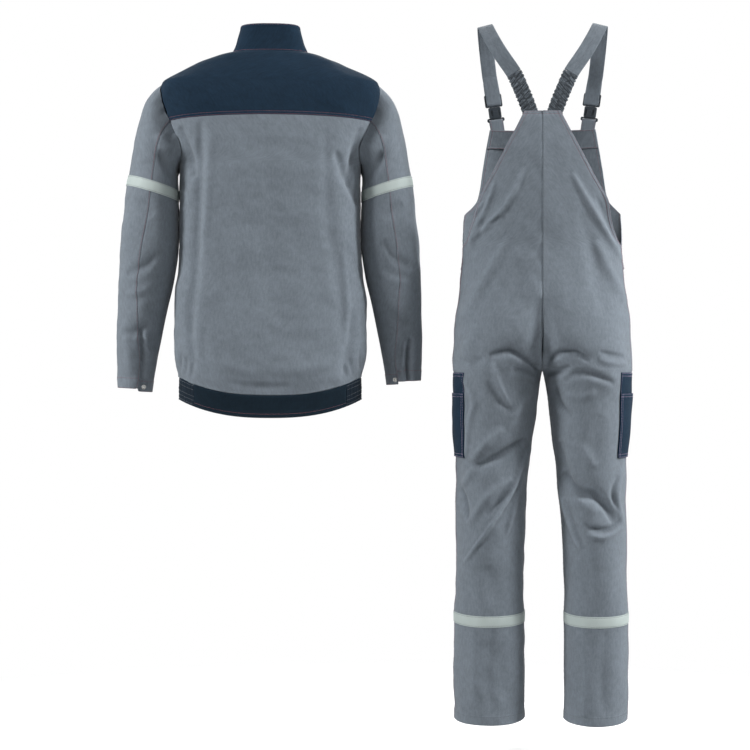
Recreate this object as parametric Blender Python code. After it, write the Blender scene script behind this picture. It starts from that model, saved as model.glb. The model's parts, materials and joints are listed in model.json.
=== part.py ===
"""Two-piece welding suit: a jacket and bib-and-brace overalls, hollow and filled out as worn.

Metres, +Z up. The wearer faces +Y and the two garments stand side by side, so their backs
face -Y. The origin is on the jacket's centre line at the level of its collar seam, where
the wearer's shoulders carry it. Each garment is modelled in a frame of its own, centred on
its own centre line, and an empty places that frame.

Cloth is a wall with its outer face on a curved surface: torso() and sleeve() for the
jacket, legs() for the overalls. A surface takes an angle and a level and gives a point.
Every panel is a grid on such a surface, thickened inward, and what lies on a panel is a
grid on the same surface, moved outward.
"""
import math
from collections import namedtuple
from functools import partial

import bmesh
import bpy
import numpy as np
from mathutils import Matrix, Vector

# Driving sizes.
OVERALLS_CENTRE = 0.5715     # from the jacket's centre line to that of the overalls
JACKET_TURN = 2.5            # degrees about Z by which each garment is turned to the other
OVERALLS_TURN = -4.0
CLOTH = 0.0014               # wall of the body cloth
TAPE = 0.0009                # wall of the reflective tape
WEBBING = 0.0022             # wall of the brace straps, two layers of cloth
GAP = 0.0003                 # between neighbouring pieces
SEAM = GAP / 2               # what each of two pieces gives up along their seam
SIDES = (("right", 1), ("left", -1))

# Jacket torso. A level is the height of a section at its sides; a rise lifts or drops the
# section's centre at the back or the front.
SQUARENESS = 2.5             # superellipse exponent of the torso's sections
SIDE_SEAM = 94.0             # degrees from the centre back to the side and shoulder seams
NECK_LEVEL = -0.0045
YOKE_LEVEL = -0.152
HEM_LEVEL = -0.6825
BAND_BOTTOM = -0.7290

TorsoRow = namedtuple("TorsoRow", "level half_width back_depth front_depth back_rise front_rise")
TORSO_ROWS = [
    TorsoRow(-0.0045, 0.0790, 0.0620, 0.0700, 0.000, -0.055),
    TorsoRow(-0.0095, 0.1045, 0.0680, 0.0755, 0.000, -0.052),
    TorsoRow(-0.0195, 0.1335, 0.0765, 0.0820, 0.000, -0.047),
    TorsoRow(-0.0345, 0.1660, 0.0860, 0.0885, 0.000, -0.040),
    TorsoRow(-0.0505, 0.1995, 0.0940, 0.0950, 0.000, -0.032),
    TorsoRow(-0.0670, 0.2255, 0.1010, 0.1010, 0.001, -0.024),
    TorsoRow(-0.0900, 0.2310, 0.1080, 0.1100, 0.003, -0.012),
    TorsoRow(-0.1150, 0.2290, 0.1120, 0.1170, 0.005, -0.004),
    TorsoRow(-0.1520, 0.2200, 0.1160, 0.1250, 0.009, 0.000),
    TorsoRow(-0.1960, 0.2060, 0.1180, 0.1310, 0.005, 0.000),
    TorsoRow(-0.2400, 0.1915, 0.1180, 0.1330, 0.002, 0.000),
    TorsoRow(-0.2850, 0.1905, 0.1170, 0.1330, 0.000, 0.000),
    TorsoRow(-0.4000, 0.1903, 0.1130, 0.1320, 0.000, 0.000),
    TorsoRow(-0.4600, 0.1935, 0.1120, 0.1320, 0.000, 0.000),
    TorsoRow(-0.5200, 0.2010, 0.1130, 0.1330, -0.001, 0.000),
    TorsoRow(-0.5800, 0.2020, 0.1150, 0.1340, -0.006, -0.001),
    TorsoRow(-0.6300, 0.2015, 0.1170, 0.1340, -0.018, -0.004),
    TorsoRow(-0.6600, 0.1970, 0.1160, 0.1320, -0.031, -0.009),
    TorsoRow(-0.6825, 0.1910, 0.1110, 0.1270, -0.0375, -0.012),
    TorsoRow(-0.7290, 0.1910, 0.1100, 0.1260, -0.0375, -0.012),
]

# The armhole's seam, from the shoulder point down to the armpit: how far it runs behind
# and in front of the side seam's angle, in degrees.
ArmholeRow = namedtuple("ArmholeRow", "level behind before")
ARMHOLE_ROWS = [
    ArmholeRow(-0.0670, 0.0, 0.0),
    ArmholeRow(-0.0750, 7.5, 9.0),
    ArmholeRow(-0.0910, 14.5, 20.0),
    ArmholeRow(-0.1170, 19.5, 30.0),
    ArmholeRow(YOKE_LEVEL, 25.0, 38.0),
    ArmholeRow(-0.1780, 28.5, 41.0),
    ArmholeRow(-0.2000, 30.5, 40.0),
    ArmholeRow(-0.2190, 27.0, 34.0),
    ArmholeRow(-0.2330, 18.0, 21.0),
    ArmholeRow(-0.2400, 0.0, 0.0),
]
ARMHOLE_STEPS = len(ARMHOLE_ROWS) - 1
ARMHOLE_STEP_ANGLE = 180.0 / ARMHOLE_STEPS

# Sleeves. A station is the way down the arm; each section runs from an outer to an inner
# point, seen from behind. The two seams are angles round the section, from its outer point
# backward.
SleeveRow = namedtuple("SleeveRow", "station outer_x outer_z inner_x inner_z middle_y "
                       "half_depth back_seam front_seam")
SLEEVE_ROWS = [
    SleeveRow(0.000, 0.2255, -0.0670, 0.1915, -0.2400, 0.002, 0.070, 80, -120),
    SleeveRow(0.022, 0.2436, -0.0840, 0.1930, -0.2480, 0.002, 0.076, 84, -119),
    SleeveRow(0.050, 0.2605, -0.1080, 0.1935, -0.2560, 0.002, 0.080, 87, -118),
    SleeveRow(0.090, 0.2740, -0.1450, 0.1930, -0.2660, 0.002, 0.082, 89, -117),
    SleeveRow(0.150, 0.2865, -0.2050, 0.1925, -0.2790, 0.002, 0.082, 90, -116),
    SleeveRow(0.205, 0.2960, -0.2604, 0.1920, -0.2920, 0.003, 0.080, 90, -115),
    SleeveRow(0.228, 0.3000, -0.2825, 0.1920, -0.3150, 0.003, 0.079, 89, -114),
    SleeveRow(0.290, 0.3066, -0.3450, 0.1922, -0.3720, 0.004, 0.076, 84, -112),
    SleeveRow(0.358, 0.3140, -0.4150, 0.1945, -0.4300, 0.007, 0.073, 77, -110),
    SleeveRow(0.412, 0.3180, -0.4700, 0.2016, -0.4800, 0.010, 0.069, 75, -110),
    SleeveRow(0.472, 0.3205, -0.5300, 0.2150, -0.5370, 0.015, 0.064, 82, -110),
    SleeveRow(0.542, 0.3225, -0.6000, 0.2290, -0.6040, 0.021, 0.057, 92, -110),
    SleeveRow(0.602, 0.3230, -0.6600, 0.2405, -0.6620, 0.027, 0.051, 106, -110),
    SleeveRow(0.645, 0.3213, -0.7020, 0.2478, -0.7056, 0.031, 0.047, 106, -110),
    SleeveRow(0.656, 0.3209, -0.7125, 0.2490, -0.7160, 0.032, 0.047, 106, -110),
]
UPPER_SLEEVE_END = 0.648
UNDER_SLEEVE_END = 0.654         # the under sleeve hangs lower at the cuff's vent
SLEEVE_TAPE = (0.205, 0.228)     # stations of the reflective tape's edges
ARMHOLE_BLEND = 0.11             # station at which the sleeve leaves the armhole's own outline
CUFF_VENT = 0.585                # station where the back seam is left open
RIGHT_CUFF_SWING = -0.003        # the right cuff hangs closer to the body, and higher
RIGHT_CUFF_LIFT = 0.015

# Collar: sections from its seam to its top edge.
CollarRow = namedtuple("CollarRow", "share half_width back_depth front_depth level front_rise")
COLLAR_ROWS = [
    CollarRow(0.00, 0.0790, 0.0620, 0.0700, -0.0040, -0.0550),
    CollarRow(0.30, 0.0725, 0.0600, 0.0680, 0.0120, -0.0550),
    CollarRow(0.70, 0.0662, 0.0585, 0.0660, 0.0350, -0.0555),
    CollarRow(1.00, 0.0612, 0.0575, 0.0640, 0.0525, -0.0560),
]

# Overalls: each leg's sections, seen from behind. Above the crotch an inner value below 0
# says how far the section would run past the centre seam that it is cut off at.
LegRow = namedtuple("LegRow", "level left_inner left_outer right_inner right_outer "
                    "back_depth front_depth")
LEG_ROWS = [
    LegRow(-0.1300, -0.1600, 0.1600, -0.1600, 0.1600, 0.0880, 0.0860),
    LegRow(-0.1600, -0.1630, 0.1650, -0.1630, 0.1640, 0.0950, 0.0940),
    LegRow(-0.2300, -0.1650, 0.1680, -0.1650, 0.1660, 0.1030, 0.1040),
    LegRow(-0.3160, -0.1620, 0.1680, -0.1620, 0.1660, 0.1030, 0.1070),
    LegRow(-0.3450, -0.1600, 0.1675, -0.1600, 0.1655, 0.1020, 0.1070),
    LegRow(-0.4120, -0.1530, 0.1675, -0.1530, 0.1655, 0.1010, 0.1070),
    LegRow(-0.4580, -0.1410, 0.1710, -0.1410, 0.1690, 0.1050, 0.1090),
    LegRow(-0.5210, -0.1150, 0.1775, -0.1150, 0.1755, 0.1150, 0.1140),
    LegRow(-0.5630, -0.0900, 0.1850, -0.0900, 0.1820, 0.1225, 0.1180),
    LegRow(-0.6000, -0.0640, 0.1865, -0.0640, 0.1840, 0.1270, 0.1190),
    LegRow(-0.6260, -0.0420, 0.1870, -0.0420, 0.1860, 0.1270, 0.1170),
    LegRow(-0.6470, -0.0210, 0.1880, -0.0210, 0.1875, 0.1230, 0.1130),
    LegRow(-0.6600, -0.0075, 0.1885, -0.0075, 0.1880, 0.1190, 0.1100),
    LegRow(-0.6670, 0.0000, 0.1885, 0.0000, 0.1880, 0.1170, 0.1080),
    LegRow(-0.6730, 0.0030, 0.1870, 0.0030, 0.1865, 0.1155, 0.1065),
    LegRow(-0.7155, 0.0090, 0.1862, 0.0095, 0.1838, 0.1080, 0.1000),
    LegRow(-0.7730, 0.0150, 0.1860, 0.0160, 0.1810, 0.1030, 0.0950),
    LegRow(-0.8480, 0.0265, 0.1822, 0.0255, 0.1750, 0.0980, 0.0910),
    LegRow(-0.9000, 0.0315, 0.1820, 0.0305, 0.1740, 0.0940, 0.0890),
    LegRow(-0.9600, 0.0345, 0.1817, 0.0370, 0.1750, 0.0900, 0.0890),
    LegRow(-1.0400, 0.0378, 0.1817, 0.0425, 0.1760, 0.0860, 0.0840),
    LegRow(-1.1200, 0.0390, 0.1820, 0.0450, 0.1775, 0.0830, 0.0790),
    LegRow(-1.1720, 0.0385, 0.1850, 0.0450, 0.1790, 0.0810, 0.0770),
    LegRow(-1.1950, 0.0380, 0.1855, 0.0450, 0.1795, 0.0805, 0.0765),
    LegRow(-1.2800, 0.0378, 0.1860, 0.0450, 0.1790, 0.0790, 0.0750),
    LegRow(-1.3965, 0.0378, 0.1860, 0.0450, 0.1775, 0.0770, 0.0740),
]
CROTCH_LEVEL = -0.6670
LEG_HEM = -1.3965
LEG_TAPE = (-1.1720, -1.1950)
LEG_SLANT = 0.11                 # the hem drops toward the back by this share of its depth
SLANT_START = -0.70
OUTER_SEAM = 8.0                 # degrees behind the side: the overalls' outer seam
OPENING_TOP = -0.4120            # the side opening, an unsewn stretch of the outer seam
OPENING_BOTTOM = -0.5480
OPENING_GAP = 1.2                # degrees that the opening stands apart
BIB_SEAM = -0.4580               # where the bib is sewn to the front legs
BIB_TOP = -0.1555
BACK_TOP = -0.1320
BIB_BAND_DEPTH = 0.040

PanelEdge = namedtuple("PanelEdge", "level half_width")
BIB_EDGE = [
    PanelEdge(BIB_TOP, 0.1123),
    PanelEdge(-0.2290, 0.1255),
    PanelEdge(-0.3050, 0.1380),
    PanelEdge(-0.3400, 0.1640),
]
BACK_EDGE = [
    PanelEdge(BACK_TOP, 0.0375),
    PanelEdge(-0.1400, 0.0412),
    PanelEdge(-0.1950, 0.0700),
    PanelEdge(-0.2550, 0.1015),
    PanelEdge(-0.3150, 0.1325),
    PanelEdge(-0.3440, 0.1395),
    PanelEdge(-0.3730, 0.1470),
    PanelEdge(-0.3970, 0.1550),
]

# Thigh pockets, centred a little in front of the outer seam.
POCKET_BACK = 44.0               # degrees round the leg, backward
POCKET_FRONT = -66.0
POCKET_LIFT = 0.0005
POCKET_TOP = -0.6730
POCKET_MOUTH = -0.7155
POCKET_BOTTOM = -0.8480

# Braces. The route of the right-hand strap, from the buckle over the shoulder to the back.
STRAP_WIDTH = 0.032
ELASTIC_WALL = 0.0030
STRAP_TAIL = 0.045               # the strap's free end, turned up round the buckle's bar
STRAP_ROUTE = [
    (0.1130, 0.0760, -0.0420),
    (0.1180, 0.0640, 0.0030),
    (0.1208, 0.0380, 0.0360),
    (0.1215, 0.0110, 0.0530),
    (0.1195, -0.0150, 0.0525),
    (0.1090, -0.0440, 0.0290),
    (0.0890, -0.0670, -0.0080),
    (0.0640, -0.0820, -0.0460),
]
ELASTIC_ROUTE = [                # from the strap's end to inside the back panel's top
    (0.0550, -0.0855, -0.0620),
    (0.0450, -0.0870, -0.0850),
    (0.0345, -0.0860, -0.1100),
    (0.0262, -0.0832, -0.1325),
    (0.0200, -0.0868, -0.1520),
]

# The largest folds, each along a path of (distance from the centre line, height) on the back
# of one side: a trough where its height is below 0, a ridge above.
Fold = namedtuple("Fold", "path half_width height")
LEG_FOLDS = {
    1: [
        Fold([(0.012, -0.622), (0.090, -0.645), (0.170, -0.652)], 0.020, -0.0055),
        Fold([(0.060, -0.682), (0.155, -0.692)], 0.022, 0.0040),
        Fold([(0.040, -0.890), (0.104, -0.922), (0.145, -0.965)], 0.024, -0.0070),
        Fold([(0.045, -0.945), (0.100, -0.990)], 0.024, 0.0040),
    ],
    -1: [
        Fold([(0.034, -0.627), (0.112, -0.638)], 0.020, -0.0050),
        Fold([(0.150, -0.672), (0.070, -0.745)], 0.024, 0.0040),
        Fold([(0.038, -0.820), (0.140, -0.862)], 0.022, -0.0060),
        Fold([(0.042, -0.860), (0.081, -0.935), (0.117, -0.993), (0.156, -1.060)], 0.022, 0.0045),
    ],
}
SLEEVE_FOLDS = {
    1: [
        Fold([(0.225, -0.455), (0.300, -0.500)], 0.022, -0.0040),
        Fold([(0.245, -0.560), (0.310, -0.610)], 0.022, -0.0040),
    ],
    -1: [
        Fold([(0.220, -0.480), (0.300, -0.520)], 0.022, -0.0040),
        Fold([(0.250, -0.590), (0.312, -0.560)], 0.022, -0.0045),
    ],
}

Look = namedtuple("Look", "colour roughness metallic")
LOOKS = {
    "cloth_grey": Look((0.160, 0.185, 0.215), 0.90, 0.0),
    "cloth_navy": Look((0.014, 0.032, 0.055), 0.90, 0.0),
    "tape_silver": Look((0.500, 0.540, 0.530), 0.55, 0.2),
    "elastic_dark": Look((0.012, 0.020, 0.028), 0.85, 0.0),
    "plastic_black": Look((0.030, 0.036, 0.045), 0.45, 0.0),
    "snap_metal": Look((0.420, 0.420, 0.410), 0.30, 1.0),
}


# --- Smooth curves through the tables -------------------------------------------------

class Sections:
    """Smooth curves through a table's rows, one for each column, against its first column."""

    def __init__(self, rows):
        table = np.array(sorted(rows), dtype=float)
        self.names = rows[0]._fields[1:]
        self.knots = table[:, 0]
        self.values = table[:, 1:]
        self.slopes = self.even_slopes()

    def even_slopes(self):
        """Slopes that never overshoot a row: zero at a peak, a harmonic mean elsewhere."""
        steps = np.diff(self.knots)[:, None]
        rates = np.diff(self.values, axis=0) / steps
        slopes = np.zeros_like(self.values)
        slopes[0], slopes[-1] = rates[0], rates[-1]
        before, after = rates[:-1], rates[1:]
        same_way = before * after > 0
        total = np.where(same_way, before + after, 1.0)
        slopes[1:-1] = np.where(same_way, 2.0 * before * after / total, 0.0)
        return slopes

    def at(self, position):
        """The columns at any position, or array of positions, by name."""
        position = np.asarray(position, dtype=float)
        last = len(self.knots) - 2
        start = np.clip(np.searchsorted(self.knots, position, side="right") - 1, 0, last)
        step = self.knots[start + 1] - self.knots[start]
        t = np.clip((position - self.knots[start]) / step, 0.0, 1.0)
        columns = {}
        for index, name in enumerate(self.names):
            low, high = self.values[start, index], self.values[start + 1, index]
            leave, arrive = self.slopes[start, index] * step, self.slopes[start + 1, index] * step
            columns[name] = (low * (1 + 2 * t) * (1 - t) ** 2 + leave * t * (1 - t) ** 2
                             + high * t * t * (3 - 2 * t) - arrive * t * t * (1 - t))
        return columns


TORSO = Sections(TORSO_ROWS)
SLEEVE = Sections(SLEEVE_ROWS)
COLLAR = Sections(COLLAR_ROWS)
LEGS = Sections(LEG_ROWS)
ARMHOLE = Sections([type(row)(step, *row[1:]) for step, row in enumerate(ARMHOLE_ROWS)])
ARMHOLE_LEVEL = np.array([row.level for row in ARMHOLE_ROWS])


def smooth_step(t):
    t = np.clip(t, 0.0, 1.0)
    return t * t * (3 - 2 * t)


def signed_power(value, power):
    return np.sign(value) * np.abs(value) ** power


def fold_height(folds, across, up):
    """How far folds lift or sink the cloth at points given by two coordinates."""
    total = np.zeros(np.shape(across))
    for fold in folds:
        nearest = np.full(np.shape(across), np.inf)
        for (x0, z0), (x1, z1) in zip(fold.path, fold.path[1:]):
            run, fall = x1 - x0, z1 - z0
            share = ((across - x0) * run + (up - z0) * fall) / (run * run + fall * fall)
            share = np.clip(share, 0, 1)
            nearest = np.minimum(nearest, np.hypot(across - x0 - share * run,
                                                   up - z0 - share * fall))
        total += fold.height * np.exp(-(nearest / fold.half_width) ** 2)
    return total


# --- The garments' surfaces -----------------------------------------------------------

def rounded_ring(turn, columns, level):
    """A point on a rounded section; turn is in degrees from the centre back."""
    angle = np.radians(turn)
    across = signed_power(np.sin(angle), 2 / SQUARENESS)
    back = signed_power(np.cos(angle), 2 / SQUARENESS)
    depth = np.where(back > 0, columns["back_depth"], columns["front_depth"])
    rise = np.where(back > 0, columns.get("back_rise", 0.0), columns["front_rise"])
    return np.stack([columns["half_width"] * across, -depth * back,
                     level + rise * np.cos(angle) ** 2], axis=-1)


def torso(turn, level):
    turn, level = np.broadcast_arrays(np.asarray(turn, float), level)
    return rounded_ring(turn, TORSO.at(level), level)


def collar(turn, share):
    turn, share = np.broadcast_arrays(np.asarray(turn, float), share)
    columns = COLLAR.at(share)
    return rounded_ring(turn, columns, columns["level"])


def armhole_turn(step):
    """The armhole's levels and turns: steps 0 to 9 run down its back, 9 to 18 up its front."""
    step = np.asarray(step, float) % (2 * ARMHOLE_STEPS)
    down = np.where(step > ARMHOLE_STEPS, 2 * ARMHOLE_STEPS - step, step)
    columns = ARMHOLE.at(down)
    level = np.interp(down, np.arange(ARMHOLE_STEPS + 1), ARMHOLE_LEVEL)
    turn = np.where(step > ARMHOLE_STEPS, SIDE_SEAM + columns["before"],
                    SIDE_SEAM - columns["behind"])
    return turn, level


def sleeve_section(angle, station):
    """A point on the plain oval section at a station."""
    columns = SLEEVE.at(station)
    angle = np.radians(angle)
    half_x = (columns["outer_x"] - columns["inner_x"]) / 2
    half_z = (columns["outer_z"] - columns["inner_z"]) / 2
    return np.stack([columns["outer_x"] - half_x + half_x * np.cos(angle),
                     columns["middle_y"] - columns["half_depth"] * np.sin(angle),
                     columns["outer_z"] - half_z + half_z * np.cos(angle)], axis=-1)


def sleeve(angle, station, side):
    """A sleeve, drawn on the right: oval sections that grow out of the armhole's outline."""
    angle, station = np.broadcast_arrays(np.asarray(angle, float), station)
    turn, level = armhole_turn(angle / ARMHOLE_STEP_ANGLE)
    edge = torso(turn, level) + normals(torso, turn, level, *TORSO_STEPS) * GAP
    fit = edge - sleeve_section(angle, np.zeros_like(station))
    fade = (1 - np.clip(station / ARMHOLE_BLEND, 0, 1)) ** 2
    point = sleeve_section(angle, station) + fit * fade[..., None]
    sunk = fold_height(SLEEVE_FOLDS[side], point[..., 0], point[..., 2])
    back = np.sin(np.radians(angle))
    point[..., 1] -= sunk * smooth_step(back / BACK_FACE)
    if side > 0:
        share = smooth_step((station - SLEEVE_TAPE[1]) / (UPPER_SLEEVE_END - SLEEVE_TAPE[1]))
        point += share[..., None] * np.array([RIGHT_CUFF_SWING, 0.0, RIGHT_CUFF_LIFT])
    return point


def legs(turn, level, side):
    """Half of the overalls, drawn on the right.

    turn runs from the outer side (0) round the back (90) to the inside (180), and the other
    way round the front (-90).
    """
    turn, level = np.broadcast_arrays(np.asarray(turn, float), level)
    columns = LEGS.at(level)
    inner, outer = leg_width(columns, side)
    angle = np.radians(turn)
    back = np.sin(angle)
    x = (outer + inner) / 2 + (outer - inner) / 2 * np.cos(angle)
    y = -back * np.where(back > 0, columns["back_depth"], columns["front_depth"])
    y = y - fold_height(LEG_FOLDS[side], x, level) * smooth_step(back / BACK_FACE)
    slant = LEG_SLANT * np.clip((SLANT_START - level) / (SLANT_START - LEG_HEM), 0, 1)
    return np.stack([x, y, level + slant * y], axis=-1)


def leg_width(columns, side):
    if side > 0:
        return columns["right_inner"], columns["right_outer"]
    return columns["left_inner"], columns["left_outer"]


def leg_turn_at(half_width, level, side):
    """How far round the back a surface point lies that is half_width from the centre line."""
    inner, outer = leg_width(LEGS.at(level), side)
    cosine = (half_width - (outer + inner) / 2) / ((outer - inner) / 2)
    return np.degrees(np.arccos(np.clip(cosine, -1, 1)))


BACK_FACE = 0.5                  # sine at which a section's back counts as fully turned
TORSO_STEPS = (0.2, 0.0005)      # the steps normals() takes on each surface; their signs
COLLAR_STEPS = (0.2, 0.01)       # make the normals point outward
SLEEVE_STEPS = (0.5, 0.0005)
LEG_STEPS = (0.5, -0.0005)


def normals(surface, u, v, step_u, step_v):
    """Unit normals, by small steps across the surface; the surfaces' senses make them outward."""
    across = surface(u + step_u, v) - surface(u - step_u, v)
    up = surface(u, v + step_v) - surface(u, v - step_v)
    normal = np.cross(across, up)
    return normal / np.linalg.norm(normal, axis=-1, keepdims=True)


# --- Building solids ------------------------------------------------------------------

def material(slot):
    made = bpy.data.materials.get(slot)
    if made is None:
        look = LOOKS[slot]
        made = bpy.data.materials.new(slot)
        made.use_nodes = True
        shader = made.node_tree.nodes["Principled BSDF"]
        shader.inputs["Base Color"].default_value = (*look.colour, 1.0)
        shader.inputs["Roughness"].default_value = look.roughness
        shader.inputs["Metallic"].default_value = look.metallic
    return made


def finish_object(name, mesh_builder, slot, garment, smooth=True):
    bmesh.ops.recalc_face_normals(mesh_builder, faces=mesh_builder.faces)
    mesh = bpy.data.meshes.new(name)
    mesh_builder.to_mesh(mesh)
    mesh_builder.free()
    if smooth:
        mesh.shade_smooth()
        mesh.set_sharp_from_angle(angle=math.radians(40))
    made = bpy.data.objects.new(name, mesh)
    made.data.materials.append(material(slot))
    made.parent = garment
    bpy.context.collection.objects.link(made)
    return made


def wall(name, outer, inner, slot, garment, closed=False):
    """A closed wall between two grids of points; closed joins each row's end to its start."""
    rows, columns = outer.shape[:2]
    builder = bmesh.new()
    grids = [[[builder.verts.new(point) for point in row] for row in grid.tolist()]
             for grid in (outer, inner)]
    spans = [(j, (j + 1) % columns) for j in range(columns if closed else columns - 1)]
    for i in range(rows - 1):
        for j, k in spans:
            for grid in grids:
                builder.faces.new((grid[i][j], grid[i][k], grid[i + 1][k], grid[i + 1][j]))
    for i in (0, rows - 1):
        for j, k in spans:
            builder.faces.new((grids[0][i][j], grids[0][i][k], grids[1][i][k], grids[1][i][j]))
    if not closed:
        for j in (0, columns - 1):
            for i in range(rows - 1):
                builder.faces.new((grids[0][i][j], grids[0][i + 1][j],
                                   grids[1][i + 1][j], grids[1][i][j]))
    return finish_object(name, builder, slot, garment)


def sheet(name, surface, u, v, steps, span, slot, garment, closed=False, mirror=False):
    """A wall on a surface: span is its lowest and highest height along the normal."""
    points = surface(u, v)
    normal = normals(surface, u, v, *steps)
    outer, inner = (points + normal * height for height in (span[1], span[0]))
    if mirror:
        outer, inner = (grid * np.array([-1.0, 1.0, 1.0]) for grid in (outer, inner))
    return wall(name, outer, inner, slot, garment, closed)


def spread(low, high, count):
    """Evenly spaced columns between two edges that may vary from row to row."""
    share = np.linspace(0.0, 1.0, count + 1)
    low, high = np.atleast_1d(low)[:, None], np.atleast_1d(high)[:, None]
    return low + (high - low) * share


def clear_scene():
    for old in list(bpy.data.objects):
        bpy.data.objects.remove(old, do_unlink=True)


def garment_frame(name, centre, turn):
    frame = bpy.data.objects.new(name, None)
    frame.location = (centre, 0.0, 0.0)
    frame.rotation_euler = (0.0, 0.0, math.radians(turn))
    bpy.context.collection.objects.link(frame)
    return frame


# --- Jacket ---------------------------------------------------------------------------

BODY_WALL = (-CLOTH, 0.0)
ON_BODY = GAP                    # the height of what lies on a panel
SEAM_TURN = 0.05                 # degrees that a torso panel gives up at a seam
SLEEVE_SEAM_TURN = 0.12
BACK_TURNS = np.array([0.0, 10.0, 24.0, 38.0, 52.0, 66.0, 80.0, SIDE_SEAM])
BAND_BACK_TURN = 52.0            # where the waistband's back piece meets its elastic
FRONT_COLUMNS = 4
FRONT_SHARE = np.linspace(0.0, 1.0, FRONT_COLUMNS + 1)
BODY_LEVELS = [HEM_LEVEL, -0.66, -0.63, -0.58, -0.52, -0.46, -0.37, -0.285]
SHOULDER_LEVELS = [-0.0505, -0.0345, -0.0195, -0.0095, NECK_LEVEL]
YOKE_STEP = 4                    # the armhole step at which the yoke's seam starts
BAND_LEVELS = [BAND_BOTTOM, HEM_LEVEL - GAP]
PLACKET_WIDTH = 0.045
PLACKET_LIFT = 0.0006


def seam_rows(below, first_step, last_step, above, before=False):
    """Levels of a body panel's rows, and the turn of its edge: side seam, armhole, shoulder."""
    steps = np.arange(first_step, last_step - 1, -1)
    turn, level = armhole_turn(2 * ARMHOLE_STEPS - steps if before else steps)
    level = np.concatenate([below, level, above])
    turn = np.concatenate([np.full(len(below), SIDE_SEAM), turn, np.full(len(above), SIDE_SEAM)])
    return level, turn


def back_columns(edge):
    """Turns across a back panel whose edges lie at +-edge, in the same shares on each row."""
    share = BACK_TURNS / SIDE_SEAM
    share = np.concatenate([-share[:0:-1], share])
    return np.atleast_1d(edge)[:, None] * share


def front_columns(edge):
    edge = np.atleast_1d(edge)[:, None]
    return edge + (180.0 - SEAM_TURN - edge) * FRONT_SHARE


def jacket_back(garment):
    level, edge = seam_rows(BODY_LEVELS, ARMHOLE_STEPS, YOKE_STEP, [])
    level[-1] -= SEAM
    sheet("jacket_back", torso, back_columns(edge - SEAM_TURN), level[:, None],
          TORSO_STEPS, BODY_WALL, "cloth_grey", garment)


def jacket_yoke(garment):
    level, edge = seam_rows([], YOKE_STEP, 0, SHOULDER_LEVELS)
    level[0] += SEAM
    sheet("jacket_back_yoke", torso, back_columns(edge - SEAM_TURN), level[:, None],
          TORSO_STEPS, BODY_WALL, "cloth_navy", garment)


def jacket_fronts(garment):
    level, edge = seam_rows(BODY_LEVELS, ARMHOLE_STEPS, 0, SHOULDER_LEVELS, before=True)
    for name, mirror in (("jacket_front_right", False), ("jacket_front_left", True)):
        sheet(name, torso, front_columns(edge + SEAM_TURN), level[:, None],
              TORSO_STEPS, BODY_WALL, "cloth_grey", garment, mirror=mirror)


def jacket_placket(garment):
    """The strip that covers the front fastening, from the collar to the waistband's edge.

    It lies on the facets of the fronts: its edges are part of the way from the centre to
    the fronts' next column.
    """
    level, edge = seam_rows([BAND_BOTTOM] + BODY_LEVELS, ARMHOLE_STEPS, 0, SHOULDER_LEVELS,
                            before=True)
    turn = front_columns(edge + SEAM_TURN)[:, -2:]
    points = torso(turn, level[:, None])
    normal = normals(torso, turn, level[:, None], *TORSO_STEPS)
    share = PLACKET_WIDTH / 2 / points[:, :1, :1]
    normal[:, 1, 0] = 0.0
    grids = []
    for height in (PLACKET_LIFT + CLOTH, PLACKET_LIFT):
        lifted = points + normal * height
        edge = lifted[:, 1:] + (lifted[:, :1] - lifted[:, 1:]) * share
        grids.append(np.concatenate([edge, lifted[:, 1:], edge * np.array([-1.0, 1.0, 1.0])],
                                    axis=1))
    wall("jacket_front_placket", *grids, "cloth_grey", garment)


def jacket_collar(garment):
    front = front_columns(SIDE_SEAM)[0, 1:]
    front[-1] = 179.7
    turn = np.concatenate([-front[::-1], back_columns(SIDE_SEAM)[0], front])
    share = np.array([0.0, 0.45, 1.0])
    sheet("jacket_collar", collar, turn[None, :], share[:, None], COLLAR_STEPS,
          BODY_WALL, "cloth_navy", garment)


def jacket_waistband(garment):
    level = np.array(BAND_LEVELS)[:, None]
    back = back_columns(SIDE_SEAM)[0]
    front = front_columns(SIDE_SEAM)[0]
    within = back[np.abs(back) <= BAND_BACK_TURN]
    within[[0, -1]] += np.array([SEAM_TURN, -SEAM_TURN])
    sheet("waistband_back", torso, within[None, :], level, TORSO_STEPS, BODY_WALL,
          "cloth_navy", garment)
    elastic = np.append(back[back >= BAND_BACK_TURN], front[1])
    band = front[1:].copy()
    for turns in (elastic, band):
        turns[[0, -1]] += np.array([SEAM_TURN, -SEAM_TURN])
    for name, mirror in (("right", False), ("left", True)):
        sheet("waistband_elastic_" + name, torso, elastic[None, :], level, TORSO_STEPS,
              BODY_WALL, "elastic_dark", garment, mirror=mirror)
        sheet("waistband_front_" + name, torso, band[None, :], level, TORSO_STEPS,
              BODY_WALL, "cloth_navy", garment, mirror=mirror)


UPPER_COLUMNS = 10               # armhole steps that each sleeve piece spans
UNDER_COLUMNS = 8
SLEEVE_STATIONS = [0.0006, 0.022, 0.050, 0.090, 0.150, *SLEEVE_TAPE, 0.290, 0.358, 0.412,
                   0.485, CUFF_VENT]
VENT_TURN = 0.8                  # degrees that each side of the cuff's vent stands back
SNAP_ANGLE = 121.0
SNAP_STATION = 0.643
SNAP_RADIUS = 0.005
SNAP_HEIGHT = 0.0016
SNAP_LIFT = 0.0012               # its socket's thickness, clear of the cloth's facets


def sleeve_seams(station):
    """The angles of a sleeve's back and front seams, with half of each seam's gap."""
    columns = SLEEVE.at(station)
    vent = np.where(station > CUFF_VENT, VENT_TURN, 0.0)
    return columns["back_seam"], columns["front_seam"], SLEEVE_SEAM_TURN + vent


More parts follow.
